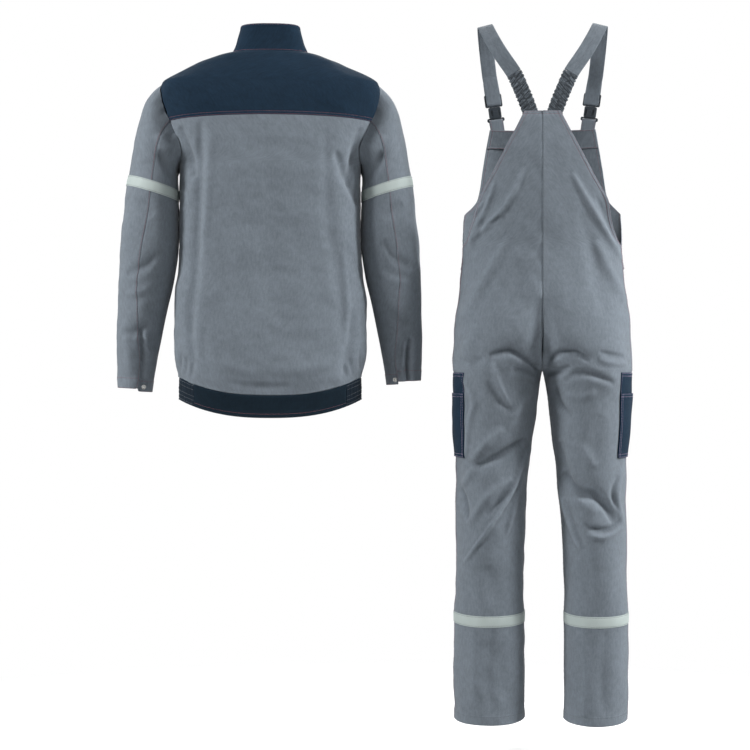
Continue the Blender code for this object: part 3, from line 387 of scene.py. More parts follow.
def run_along(points, axis):
    """Distances along one axis of a grid of points, from its first line."""
    steps = np.linalg.norm(np.diff(points, axis=axis), axis=-1)
    start = np.zeros_like(np.take(steps, [0], axis=axis))
    return np.concatenate([start, np.cumsum(steps, axis=axis)], axis=axis)


def beside_path(path, across, up):
    """How near points lie to a path, on which side of it, and at what share of its run."""
    run = run_along(path, 0)
    nearest = np.full(np.shape(across), np.inf)
    flank, place = np.zeros_like(nearest), np.zeros_like(nearest)
    for (x0, z0), (x1, z1), start, end in zip(path, path[1:], run, run[1:]):
        dx, dz, length = x1 - x0, z1 - z0, end - start
        share = np.clip(((across - x0) * dx + (up - z0) * dz) / length ** 2, 0, 1)
        away = np.hypot(across - x0 - share * dx, up - z0 - share * dz)
        closer = away < nearest
        nearest = np.where(closer, away, nearest)
        flank = np.where(closer, np.sign(dx * (up - z0) - dz * (across - x0)), flank)
        place = np.where(closer, (start + share * length) / run[-1], place)
    return nearest, flank, place


def fold_height(folds, across, up):
    """How far folds lift or sink the cloth at points given by two coordinates."""
    return sum(fold.height * bell(beside_path(fold.path, across, up)[0], fold.half_width)
               for fold in folds)


# --- The garments' surfaces -----------------------------------------------------------

BACK_FACE = 0.5                  # sine at which a section's back counts as fully turned


def rounded_ring(turn, columns, level):
    """A point on a rounded section; turn is in degrees from the centre back."""
    angle = np.radians(turn)
    across = signed_power(np.sin(angle), 2 / SQUARENESS)
    back = signed_power(np.cos(angle), 2 / SQUARENESS)
    depth = np.where(back > 0, columns["back_depth"], columns["front_depth"])
    rise = np.where(back > 0, columns.get("back_rise", 0.0), columns["front_rise"])
    return np.stack([columns["half_width"] * across, -depth * back,
                     level + rise * np.cos(angle) ** 2], axis=-1)


def torso(turn, level):
    turn, level = np.broadcast_arrays(np.asarray(turn, float), level)
    return rounded_ring(turn, TORSO.at(level), level)


def collar(turn, share):
    turn, share = np.broadcast_arrays(np.asarray(turn, float), share)
    columns = COLLAR.at(share)
    return rounded_ring(turn, columns, columns["level"])


def armhole_turn(step):
    """The armhole's levels and turns: steps 0 to 9 run down its back, 9 to 18 up its front."""
    step = np.asarray(step, float) % (2 * ARMHOLE_STEPS)
    down = np.where(step > ARMHOLE_STEPS, 2 * ARMHOLE_STEPS - step, step)
    columns = ARMHOLE.at(down)
    level = np.interp(down, np.arange(ARMHOLE_STEPS + 1), ARMHOLE_LEVEL)
    turn = np.where(step > ARMHOLE_STEPS, SIDE_SEAM + columns["before"],
                    SIDE_SEAM - columns["behind"])
    return turn, level


def sleeve_section(angle, station):
    """A point on the plain oval section at a station."""
    columns = SLEEVE.at(station)
    angle = np.radians(angle)
    half_x = (columns["outer_x"] - columns["inner_x"]) / 2
    half_z = (columns["outer_z"] - columns["inner_z"]) / 2
    return np.stack([columns["outer_x"] - half_x + half_x * np.cos(angle),
                     columns["middle_y"] - columns["half_depth"] * np.sin(angle),
                     columns["outer_z"] - half_z + half_z * np.cos(angle)], axis=-1)


def sleeve(angle, station, side):
    """A sleeve, drawn on the right: oval sections that grow out of the armhole's outline."""
    angle, station = np.broadcast_arrays(np.asarray(angle, float), station)
    turn, level = armhole_turn(angle / ARMHOLE_STEP_ANGLE)
    edge = torso(turn, level) + normals(torso, turn, level, *TORSO_STEPS) * GAP
    fit = edge - sleeve_section(angle, np.zeros_like(station))
    fade = (1 - np.clip(station / ARMHOLE_BLEND, 0, 1)) ** 2
    point = sleeve_section(angle, station) + fit * fade[..., None]
    sunk = fold_height(SLEEVE_FOLDS[side], point[..., 0], point[..., 2])
    back = np.sin(np.radians(angle))
    point[..., 1] -= sunk * smooth_step(back / BACK_FACE)
    if side > 0:
        share = smooth_step((station - SLEEVE_TAPE[1]) / (UPPER_SLEEVE_END - SLEEVE_TAPE[1]))
        point += share[..., None] * np.array([RIGHT_CUFF_SWING, 0.0, RIGHT_CUFF_LIFT])
    return point


def legs(turn, level, side):
    """Half of the overalls, drawn on the right.

    turn runs from the outer side (0) round the back (90) to the inside (180), and the other
    way round the front (-90).
    """
    turn, level = np.broadcast_arrays(np.asarray(turn, float), level)
    columns = LEGS.at(level)
    inner, outer = leg_width(columns, side)
    angle = np.radians(turn)
    back = np.sin(angle)
    x = (outer + inner) / 2 + (outer - inner) / 2 * np.cos(angle)
    y = -back * np.where(back > 0, columns["back_depth"], columns["front_depth"])
    y = y - fold_height(LEG_FOLDS[side], x, level) * smooth_step(back / BACK_FACE)
    slant = LEG_SLANT * np.clip((SLANT_START - level) / (SLANT_START - LEG_HEM), 0, 1)
    return np.stack([x, y, level + slant * y], axis=-1)


def leg_width(columns, side):
    if side > 0:
        return columns["right_inner"], columns["right_outer"]
    return columns["left_inner"], columns["left_outer"]


def leg_turn_at(half_width, level, side):
    """How far round the back a surface point lies that is half_width from the centre line."""
    inner, outer = leg_width(LEGS.at(level), side)
    cosine = (half_width - (outer + inner) / 2) / ((outer - inner) / 2)
    return np.degrees(np.arccos(np.clip(cosine, -1, 1)))


TORSO_STEPS = (0.2, 0.0005)      # the steps normals() takes on each surface; their signs
COLLAR_STEPS = (0.2, 0.01)       # make the normals point outward
SLEEVE_STEPS = (0.5, 0.0005)
LEG_STEPS = (0.5, -0.0005)


def normals(surface, u, v, step_u, step_v):
    """Unit normals, by small steps across the surface; the surfaces' senses make them outward."""
    across = surface(u + step_u, v) - surface(u - step_u, v)
    up = surface(u, v + step_v) - surface(u, v - step_v)
    return unit(np.cross(across, up))


# --- Fine surfaces --------------------------------------------------------------------

SPACING = 0.0037                 # between a cloth grid's lines, away from edges and stitches
INNER_SPACING = 0.010            # between those of its inner face
EVEN_LEVEL = -0.35               # the torso section along which turns are made even
EVEN_STEPS = 720


def even_turns():
    turn = np.linspace(0.0, 180.0, EVEN_STEPS + 1)
    run = run_along(torso(turn, EVEN_LEVEL), 0)
    return run / run[-1] * 180.0, turn


EVEN, TURN = even_turns()


def turn_at(even):
    """The torso's turn at an angle that grows evenly with the way round."""
    return np.sign(even) * np.interp(np.abs(even), EVEN, TURN)


def even_at(turn):
    return np.sign(turn) * np.interp(np.abs(turn), TURN, EVEN)


def even_torso(even, level):
    return torso(turn_at(even), level)


def even_collar(even, share):
    return collar(turn_at(even), share)


# --- Relief: unevenness, creases, gathers ---------------------------------------------

WAVE_COUNT = 10
LONGEST_FINE_WAVE = 0.06


def waves(point, seed, shortest=0.05, longest=0.14):
    """Soft unevenness between about -1 and 1: plane waves whose ways come from a seed."""
    random = np.random.default_rng(seed)
    total = np.zeros(point.shape[:-1])
    for _ in range(WAVE_COUNT):
        way = random.normal(size=3)
        way /= np.linalg.norm(way)
        length = random.uniform(shortest, longest)
        total += np.sin(point @ way * (2 * np.pi / length) + random.uniform(0, 2 * np.pi))
    return total / math.sqrt(2 * WAVE_COUNT)


def uneven(points, broad, fine, seeds, shortest=0.02):
    """A cloth's unevenness: broad waves of one height, and finer ones of another."""
    return (broad * waves(points, seeds[0])
            + fine * waves(points, seeds[1], shortest, LONGEST_FINE_WAVE))


def ripple(run, pitch, seed):
    """Uneven ripples along a line, -1 to 1."""
    first, second, third = np.random.default_rng(seed).uniform(0, 2 * np.pi, 3)
    phase = 2 * np.pi * run / pitch
    drift = 0.9 * np.sin(phase / 3.7 + first) + 0.6 * np.sin(phase / 6.1 + second)
    size = 0.7 + 0.3 * np.sin(phase / 4.3 + third)
    return np.sin(phase + drift) * size


SHARP_TURN = 260.0               # curvature, 1/m, near which a crest gets its full painted highlight and a trough its full painted shade
CREASE_GAIN = 2.2
CREASE_END = 0.55                # a crease's width at its ends, as a share of its middle's
CREASE_STEPS = 4                 # straight bits to each stretch of a crease's path


def smooth_path(points, steps):
    """Points on a smooth curve through the path's own, steps to each stretch."""
    points = np.asarray(points, float)
    ends = np.vstack([2 * points[0] - points[1], points, 2 * points[-1] - points[-2]])
    share = (np.arange(steps) / steps)[:, None]
    path = [0.5 * (2 * b + (c - a) * share + (2 * a - 5 * b + 4 * c - d) * share ** 2
                   + (3 * b - a - 3 * c + d) * share ** 3)
            for a, b, c, d in zip(ends, ends[1:], ends[2:], ends[3:])]
    return np.vstack(path + [points[-1:]])


def crease_height(creases, across, up):
    """The height of creases at points given by two coordinates.

    A crease fades toward both its ends. Skew raises one flank and sinks the other.
    """
    total = np.zeros(np.shape(across))
    for crease in creases:
        nearest, flank, place = beside_path(smooth_path(crease.path, CREASE_STEPS), across, up)
        fade = np.sqrt(np.clip(np.sin(np.pi * place), 0.0, 1.0))
        t = nearest / (crease.half_width * (CREASE_END + (1 - CREASE_END) * fade))
        total += (CREASE_GAIN * crease.height * fade * np.exp(-t * t)
                  * (1.0 + crease.skew * t * flank))
    return total


FACE_SINE = 0.45                 # the normal's y at which a face counts as fully front or back


def facing(normal, way):
    """How far points face back (way -1) or front (way 1), 0 to 1."""
    return smooth_step(0.5 + way * normal[..., 1] / (2 * FACE_SINE))


# --- Meshes ---------------------------------------------------------------------------

Garment = namedtuple("Garment", "centre turn")
JACKET = Garment(0.0, math.radians(JACKET_TURN))
OVERALLS = Garment(OVERALLS_CENTRE, math.radians(OVERALLS_TURN))


def placed(points, garment, mirror=False):
    """Points of a garment's own frame, put where the garment stands."""
    x, y, z = np.moveaxis(np.asarray(points, float), -1, 0)
    if mirror:
        x = -x
    cosine, sine = math.cos(garment.turn), math.sin(garment.turn)
    return np.stack([x * cosine - y * sine + garment.centre, x * sine + y * cosine, z], axis=-1)


def in_scene(name, data):
    """A new object, put in the scene."""
    made = bpy.data.objects.new(name, data)
    bpy.context.collection.objects.link(made)
    return made


def new_piece(name, points, faces, slot, material, node=None, uv=None, marks=None,
              smooth=True):
    """A mesh piece that rides on the part. faces is a list of arrays, one row to a face."""
    mesh = bpy.data.meshes.new(name)
    points = points.reshape(-1, 3)
    loops = np.concatenate([block.ravel() for block in faces]).astype(np.int32)
    sizes = np.concatenate([np.full(len(block), block.shape[1]) for block in faces])
    starts = np.concatenate([[0], np.cumsum(sizes)[:-1]]).astype(np.int32)
    mesh.vertices.add(len(points))
    mesh.vertices.foreach_set("co", points.astype(np.float32).ravel())
    mesh.loops.add(len(loops))
    mesh.loops.foreach_set("vertex_index", loops)
    mesh.polygons.add(len(sizes))
    mesh.polygons.foreach_set("loop_start", starts)
    mesh.polygons.foreach_set("use_smooth", np.full(len(sizes), smooth))
    mesh.update(calc_edges=True)
    if uv is not None:
        layer = mesh.uv_layers.new(name="weave")
        layer.uv.foreach_set("vector", uv.reshape(-1, 2)[loops].astype(np.float32).ravel())
    # wear marks worn edges paler; fold carries the painted highlight on crests, partly crease
    # wear, and the painted shade in troughs and on inner faces
    for index, name_of in enumerate(("wear", "fold") if marks is not None else ()):
        made = mesh.attributes.new(name_of, "FLOAT", "POINT")
        made.data.foreach_set("value", marks[:, index].astype(np.float32))
    mesh.validate()
    piece = in_scene(name, mesh)
    mesh.materials.append(material)
    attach(piece, "root")
    if node:
        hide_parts(node)
    return piece


def quads(rows, columns, start=0, flip=False, closed=False):
    """The faces of a grid whose points are numbered row by row."""
    row = np.arange(rows - 1)[:, None] * columns
    column = np.arange(columns if closed else columns - 1)[None, :]
    beside = (column + 1) % columns
    a, b, c, d = (np.broadcast_to(corner, (rows - 1, column.size)).ravel() + start
                  for corner in (row + column, row + beside, row + columns + beside,
                                 row + columns + column))
    return np.stack([a, d, c, b] if flip else [a, b, c, d], axis=-1)


WORN_EDGE = 0.004                # how far in from an edge the cloth looks worn
INNER_FACE_SHADE = np.array([0.0, -0.8])  # added to the marks of a wall's inner face: a painted shade, as if every inside lay in shadow


def wall_mesh(name, garment, mirror, outer, inner, slot, material, node, uv, marks=None,
              closed=False, kept=None):
    """A closed wall between an outer and an inner grid of a garment's points.

    Where the inner grid is the coarser one, kept gives the outer grid's rows and columns
    that it keeps.
    """
    outer, inner = (placed(grid, garment, mirror) for grid in (outer, inner))
    rows, columns = outer.shape[:2]
    count = rows * columns
    kept = kept or (np.arange(rows), np.arange(columns))
    way = np.cross(outer[1, 0] - outer[0, 0], outer[0, 1] - outer[0, 0])
    flip = bool(np.dot(way, outer[0, 0] - inner[0, 0]) > 0)
    faces = [quads(rows, columns, 0, flip, closed),
             quads(*inner.shape[:2], count, not flip, closed)]
    near = [np.abs(np.arange(size)[:, None] - lines).argmin(axis=1)
            for size, lines in zip((rows, columns), kept)]
    over = np.arange(count).reshape(rows, columns)
    under = np.arange(count, count + inner[..., 0].size).reshape(inner.shape[:2])
    under = under[np.ix_(*near)]
    if closed:
        over, under = (np.hstack([grid, grid[:, :1]]) for grid in (over, under))
    ends = [(over[0], under[0], not flip), (over[-1], under[-1], flip)]
    if not closed:
        ends += [(over[:, 0], under[:, 0], flip), (over[:, -1], under[:, -1], not flip)]
    for top, low, turned in ends:
        rim = np.stack([top[:-1], top[1:], low[1:], low[:-1]], axis=-1)
        whole = low[1:] != low[:-1]
        for block in (rim[whole], rim[~whole][:, :3]):
            faces.append(block[:, ::-1] if turned else block)
    points = np.concatenate([outer.reshape(-1, 3), inner.reshape(-1, 3)])
    # the inner face's marks are shifted so that it is painted darker, as shade
    twice = [None if grid is None else
             np.concatenate([part.reshape(-1, grid[0, 0].size)
                             for part in (grid, grid[np.ix_(*kept)] + inner_face_offset)])
             for grid, inner_face_offset in ((uv, 0.0), (marks, INNER_FACE_SHADE))]
    return new_piece(name, points, faces, slot, material, node, *twice)


# --- Panels ---------------------------------------------------------------------------

# How a piece of cloth ends: sewn into a seam, lapped over its neighbour, tucked under it, or
# turned in as a hem of some depth. Rows are the distances of its stitch rows from that edge.
Edge = namedtuple("Edge", "kind rows depth thread", defaults=((), 0.0, "maroon"))
SEWN = Edge("sewn")
EDGE_MARKS = (0.0, 0.0006, 0.0014, 0.0028)
TUCK_MARKS = (-0.0032, -0.0002, 0.0002, 0.0007, 0.0014, 0.0028)
TUCK_DROP = 0.0019               # how far down a tucked edge runs on under its neighbour
TUCK_END = 0.0009
ROW_MARKS = (-0.0017, -0.0008, 0.0, 0.0008, 0.0017)
HEM_MARK = 0.0012                # lines this far to either side of a hem's inner end
MARK_GAP = 0.00035               # grid lines nearer than this are one line
SEAM_DIP = 0.0008
SEAM_WIDTH = 0.0012
PULL = 0.3                       # how far the cloth beside a seam is drawn in, as a share
PULL_WIDTH = 0.006
LAP_RISE = 0.0008
LAP_WIDTH = 0.013
LAP_RIM = 0.0006                 # widths over which a rise's own rim is rounded down
HEM_RIM = 0.0007
HEM_RISE = 0.0006
HEM_STEP = 0.0016
EDGE_ROUND = 1.2                 # how far a rise's own rim is rounded down, as a share of it
STITCH_DIP = 0.00045
STITCH_GROOVE = 0.0009
PUCKER = 0.00022
PUCKER_PITCH = 0.0105
PUCKER_WIDTH = 0.008
THREADS = {}                     # stitch lines for each garment and colour, filled by panels


def edge_marks(edge):
    """Distances from an edge at which the grid needs a line."""
    marks = list(TUCK_MARKS if edge.kind == "tucked" else EDGE_MARKS)
    marks += [row + step for row in edge.rows for step in ROW_MARKS]
    if edge.depth and edge.kind == "hem":
        marks += [edge.depth - HEM_MARK, edge.depth, edge.depth + HEM_MARK]
    kept = []
    for mark in sorted(mark for mark in marks if mark >= 0 or edge.kind == "tucked"):
        exact = any(abs(mark - row) < 1e-9 for row in edge.rows)
        if kept and mark - kept[-1] < MARK_GAP:
            if exact:
                kept[-1] = mark
            continue
        kept.append(mark)
    return np.array(kept)


def edge_height(edge, away, along, seed):
    """What an edge adds to the height at a distance from it."""
    near = {"sewn": -SEAM_DIP * (bell(away, SEAM_WIDTH) + PULL * bell(away, PULL_WIDTH)),
            "lapped": LAP_RISE * (bell(away, LAP_WIDTH) - EDGE_ROUND * bell(away, LAP_RIM)),
            "tucked": -(TUCK_DROP + edge.depth) * (1 - smooth_step(away / TUCK_END)),
            "hem": HEM_RISE * (1 - smooth_step((away - edge.depth) / HEM_STEP)
                               - EDGE_ROUND * bell(away, HEM_RIM)),
            "plain": 0.0 * away}[edge.kind]
    for row in edge.rows:
        near = near - STITCH_DIP * bell(away - row, STITCH_GROOVE)
    if edge.kind != "plain":
        reach = edge.rows[-1] if edge.rows else 0.0
        near = near + (PUCKER * ripple(along, PUCKER_PITCH, seed)
                       * bell(away - reach, PUCKER_WIDTH))
    return near


def spaced(length, low, high, spacing):
    """Shares of the middle stretch between two edges' marks."""
    middle = max(length - low[-1] - high[-1], spacing)
    return np.linspace(0.0, 1.0, max(int(round(middle / spacing)), 2) + 1)[1:-1]


EDGE_SHARE = 0.5                 # rows crowd where a side edge runs this share of the way across
PROBE_ROWS = 400                 # levels at which a panel is measured to space its rows
PROBE_SHARES = (0.05, 0.95, 7)   # and the shares of its width there: first, last, count
PROBE_COLUMNS = 25               # points across each row at which its width is measured


def level_rows(surface, across, bottom, top, edges, spacing):
    """A panel's levels, spaced by the way up the cloth, and that way from the bottom."""
    fine = np.linspace(bottom, top, PROBE_ROWS)
    low, high = across(fine)
    share = np.linspace(*PROBE_SHARES)
    grid = surface(low[:, None] + (high - low)[:, None] * share, fine[:, None])
    up = run_along(grid, 0).mean(axis=1)
    sides = run_along(surface(np.stack([low, high], axis=-1), fine[:, None]), 0)
    steps = np.maximum(np.diff(up), EDGE_SHARE * np.diff(sides, axis=0).max(axis=1))
    dense = np.concatenate([[0.0], np.cumsum(steps)])
    low_marks, high_marks = edge_marks(edges[2]), edge_marks(edges[3])
    start, end = np.interp([low_marks[-1], up[-1] - high_marks[-1]], up, dense)
    count = max(int(round((end - start) / spacing)), 2)
    middle = np.interp(np.linspace(start, end, count + 1)[1:-1], dense, up)
    runs = np.concatenate([low_marks, middle, up[-1] - high_marks[::-1]])
    levels = np.interp(runs, up, fine)
    for outside, end in ((runs < 0, 0), (runs > up[-1], -1)):
        rate = (fine[end] - fine[end - 3 if end else 3]) / (up[end] - up[end - 3 if end else 3])
        levels = np.where(outside, fine[end] + rate * (runs - up[end]), levels)
    return levels, runs


EDGE_WINDOW = 14                 # rows above and below in which a side edge's nearest point lies
LEAST_SLANT = 0.4
MARKS_SHARE = 0.98               # how much of a narrow row its two edges' marks may fill


def side_distance(points, run, edge):
    """How far a grid's points lie from a side edge, below 0 where they run on past it."""
    rows = len(edge)
    nearest = np.full(run.shape, np.inf)
    for step in range(-EDGE_WINDOW, EDGE_WINDOW):
        first = np.clip(np.arange(rows) + step, 0, rows - 2)
        start, along = edge[first], edge[first + 1] - edge[first]
        way = points - start[:, None]
        share = np.sum(way * along[:, None], axis=-1) / np.sum(along ** 2, axis=-1)[:, None]
        gap = way - along[:, None] * np.clip(share, 0, 1)[..., None]
        nearest = np.minimum(nearest, np.linalg.norm(gap, axis=-1))
    return np.where(run < 0, -nearest, nearest)


def thinned(run, whole):
    """Which of a grid's lines the inner face keeps: all of them, or a wider spaced few."""
    if whole:
        return np.arange(len(run))
    count = max(2, int((run[-1] - run[0]) / INNER_SPACING) + 1)
    return np.unique(np.searchsorted(run, np.linspace(run[0], run[-1], count)))


def lowest(height, kept, axis):
    """The least height between the lines beside each kept line, so no crease cuts through."""
    lines = np.moveaxis(height, axis, 0)
    ends = np.concatenate([kept[:1], kept, kept[-1:]])
    least = [lines[first:last + 1].min(axis=0) for first, last in zip(ends, ends[2:])]
    return np.moveaxis(np.stack(least), 0, axis)


def crests(height, run, up):
    """How sharply a relief turns: up to 1 on a crest, down to -1 in a trough, where the cloth is
    painted paler and darker as highlight and shade.
    """
    slope = np.gradient(height, axis=1) / np.gradient(run, axis=1)
    across = np.gradient(slope, axis=1) / np.gradient(run, axis=1)
    along = np.gradient(np.gradient(height, up, axis=0), up, axis=0)
    return np.tanh(-(across + along) / SHARP_TURN)


def panel(name, garment, surface, steps, relief, across, bottom, top, edges, slot, material,
          lift=0.0, mirror=False, spacing=SPACING, seed=0, node=None,
          held="hung", extra=None, inside=False):
    """A piece of cloth between two edges on a surface, from a bottom to a top level.

    across gives the surface's first coordinate at the two edges for each level. edges says
    how the cloth ends at those two, at the bottom and at the top.
    """
    levels, up = level_rows(surface, across, bottom, top, edges, spacing)
    low, high = across(levels)
    shares = np.linspace(0, 1, PROBE_COLUMNS)
    coarse = surface(low[:, None] + (high - low)[:, None] * shares, levels[:, None])
    widths = run_along(coarse, 1)[:, -1]
    low_marks, high_marks = edge_marks(edges[0]), edge_marks(edges[1])
    slants = [np.maximum(LEAST_SLANT, 1.0 / np.hypot(1.0, np.gradient(coarse[:, column, 0], up)))
              for column in (0, -1)]
    left, right = (low_marks / slants[0][:, None], high_marks[::-1] / slants[1][:, None])
    squeeze = np.minimum(1.0, MARKS_SHARE * widths / (left[:, -1] + right[:, 0]))[:, None]
    left, right = left * squeeze, right * squeeze
    middle = spaced(widths.max(), low_marks, high_marks, spacing)
    start, end = left[:, -1:], widths[:, None] - right[:, :1]
    run = np.hstack([left, start + (end - start) * middle, widths[:, None] - right])
    u = low[:, None] + (high - low)[:, None] * run / widths[:, None]
    v = np.broadcast_to(levels[:, None], u.shape)
    points = surface(u, v)
    normal = normals(surface, u, v, *steps)
    way_up = np.broadcast_to(up[:, None], u.shape)
    away = [side_distance(points, run, surface(low, levels)),
            side_distance(points, widths[:, None] - run, surface(high, levels)),
            way_up, up[-1] - way_up]
    folds = relief(points, normal)
    height = lift + folds
    if extra is not None:
        height = height + extra(points, run, up[:, None], widths[:, None])
    for index, edge in enumerate(edges):
        height = height + edge_height(edge, away[index], way_up if index < 2 else run,
                                      seed + index)
    outer = points + normal * height[..., None]
    kept = (thinned(up, inside), thinned(run[widths.argmax()], inside))
    low = height if inside else lowest(lowest(height, kept[0], 0), kept[1], 1)
    grid = np.ix_(*kept)
    inner = points[grid] + normal[grid] * (low - CLOTH)[..., None]
    # the marks: paler worn edges, and the fold mark, which paints crests paler and troughs darker
    # as highlight and shade
    marks = np.stack([bell(np.minimum.reduce(away), WORN_EDGE), crests(folds, run, up)], axis=-1)
    uv = np.stack([run, way_up], axis=-1)
    collect_threads(garment, outer, normal, edges, mirror)
    if inside:
        collect_threads(garment, inner, -normal, edges, mirror)
    piece = wall_mesh(name, garment, mirror, outer, inner, slot, material, node, uv, marks,
                      kept=kept)
    area = float((widths[1:] + widths[:-1]) @ np.diff(up) / 2)
    declare_sheet(widths.max(), up[-1], area)
    return piece


def collect_threads(garment, outer, normal, edges, mirror):
    """Keeps a panel's stitch rows, which are lines of its grid, for the sewing."""
    sides = ((0, 1), (1, -1), (2, 1), (3, -1))
    for (index, way), edge in zip(sides, edges):
        marks = edge_marks(edge)
        for row in edge.rows:
            line = int(np.argmin(np.abs(marks - row)))
            line = line if way > 0 else -1 - line
            lines = outer[:, line], normal[:, line]
            if index > 1:
                lines = outer[line], normal[line]
            THREADS.setdefault((garment, edge.thread), []).append((*lines, mirror))


def declare_sheet(width, length, area):
    """The cut of a piece of cloth: its own width and length, and its area where it tapers, worked
    out here and kept nowhere.
    """
    area = min(area, width * length)


# --- Stitches -------------------------------------------------------------------------

STITCH_PITCH = 0.0033
STITCH_LENGTH = 0.0027
THREAD_RADIUS = 0.00055
STITCH_SIDES = 4
STITCH_RINGS = ((0.0, 0.55, -0.5), (0.5, 1.0, 0.3), (1.0, 0.55, -0.5))   # share, radius, lift


def at_places(places, run, values):
    """Points or ways at places along a line, given at its own runs."""
    return np.stack([np.interp(places, run, values[:, axis]) for axis in range(3)], axis=-1)


def stitches(points, normal):
    """Small bent rods along a line on the cloth: their rings of points."""
    run = run_along(points, 0)
    starts = np.arange(STITCH_PITCH / 2, run[-1] - STITCH_LENGTH, STITCH_PITCH)
    if not len(starts):
        return np.zeros((0, len(STITCH_RINGS), STITCH_SIDES, 3))
    along = unit(at_places(starts + STITCH_LENGTH, run, points)
                 - at_places(starts, run, points))
    angles = np.arange(STITCH_SIDES) * 2 * np.pi / STITCH_SIDES
    rings = []
    for share, radius, lift in STITCH_RINGS:
        place = starts + share * STITCH_LENGTH
        out = square_to(at_places(place, run, normal), along)
        side = np.cross(along, out)
        centre = at_places(place, run, points) + out * (lift * THREAD_RADIUS)
        rings.append(centre[:, None] + THREAD_RADIUS * radius
                     * (np.cos(angles)[:, None] * side[:, None] + np.sin(angles)[:, None]
                        * out[:, None]))
    return np.stack(rings, axis=1)


def sew(name, garment, thread):
    """All stitches of one garment in one colour of thread, as one piece."""
    blocks = []
    for points, normal, mirror in THREADS[garment, thread]:
        block = placed(stitches(points, normal), garment, mirror)
        blocks.append(block[:, :, ::-1] if mirror else block)
    rods = np.concatenate(blocks)
    count, rings, sides = rods.shape[:3]
    first = (np.arange(count) * rings * sides)[:, None]
    faces = quads(rings, sides, 0, False, closed=True)
    body = (first[:, None] + faces[None]).reshape(-1, 4)
    ends = [(first + np.arange(sides)[::-1]), (first + (rings - 1) * sides + np.arange(sides))]
    new_piece(name, rods, [body, *ends], THREAD_SLOTS[thread], MATERIALS[thread])


# --- Materials ------------------------------------------------------------------------

WHITE = (1.0, 1.0, 1.0, 1.0)


class Nodes:
    """A node tree built by short calls. A value may be a number or a node's output."""

    def __init__(self, tree):
        self.tree = tree

    def set(self, node, socket, value):
        target = node.inputs[socket]
        if isinstance(value, bpy.types.NodeSocket):
            self.tree.links.new(value, target)
        else:
            target.default_value = value

    def add(self, kind, inputs=(), **settings):
        made = self.tree.nodes.new("ShaderNode" + kind)
        for key, value in settings.items():
            setattr(made, key, value)
        for socket, value in dict(inputs).items():
            self.set(made, socket, value)
        return made

    def math(self, operation, first, second=0.0, third=0.0):
        return self.add("Math", {0: first, 1: second, 2: third},
                        operation=operation).outputs[0]

    def plain_white(self, kind, strength=1.0):
        """A node that gives out plain white."""
        return self.add(kind, {"Color": WHITE, "Strength": strength}).outputs[0]

    def seen(self):
        """1 where the camera, a reflection or a view through something meets the surface."""
        path = self.add("LightPath").outputs
        through = self.math("MAXIMUM", path["Is Glossy Ray"], path["Is Transmission Ray"])
        return self.math("MAXIMUM", path["Is Camera Ray"], through)

    def mixed(self, share, first, second):
        return self.add("MixShader", {0: share, 1: first, 2: second}).outputs[0]


class Shader(Nodes):
    """A material's nodes, with calls for what its surface needs."""

    def __init__(self, name, roughness, **settings):
        self.material = bpy.data.materials.new(name)
        self.material.use_nodes = True
        super().__init__(self.material.node_tree)
        self.surface = self.tree.nodes["Principled BSDF"]
        self.set(self.surface, "Roughness", roughness)
        for key, value in settings.items():
            self.set(self.surface, key.replace("_", " "), value)

    def noise(self, place, scale, detail=2.0, roughness=0.5):
        made = self.add("TexNoise", {"Vector": place, "Scale": scale, "Detail": detail,
                                     "Roughness": roughness})
        return made.outputs["Fac"]

    def wave(self, run, pitch):
        return self.math("SINE", self.math("MULTIPLY", run, 2 * math.pi / pitch))

    def colour(self, dark, light, share):
        mixed = self.add("Mix", {"Factor": share}, data_type="RGBA")
        self.set(mixed, "A", (*dark, 1.0))
        self.set(mixed, "B", (*light, 1.0))
        self.set(self.surface, "Base Color", mixed.outputs["Result"])

    def bump(self, height, distance, strength=1.0, under=None):
        inputs = {"Height": height, "Distance": distance, "Strength": strength}
        if under is not None:
            inputs["Normal"] = under
        return self.add("Bump", inputs).outputs["Normal"]


def scaled(colour, factor):
    return tuple(channel * factor for channel in colour)


TWILL_PITCH = 0.0011             # between the diagonal ribs of the cloth's weave
YARN_PITCH = 0.00055
TONE_RANGE = 0.6                 # how far a cloth's tone may go either way, as a share
FOLD_PAINTED_SHADING = 0.24                 # how much paler a painted highlight makes a crest, partly crease wear, and how much darker a painted shade makes a trough
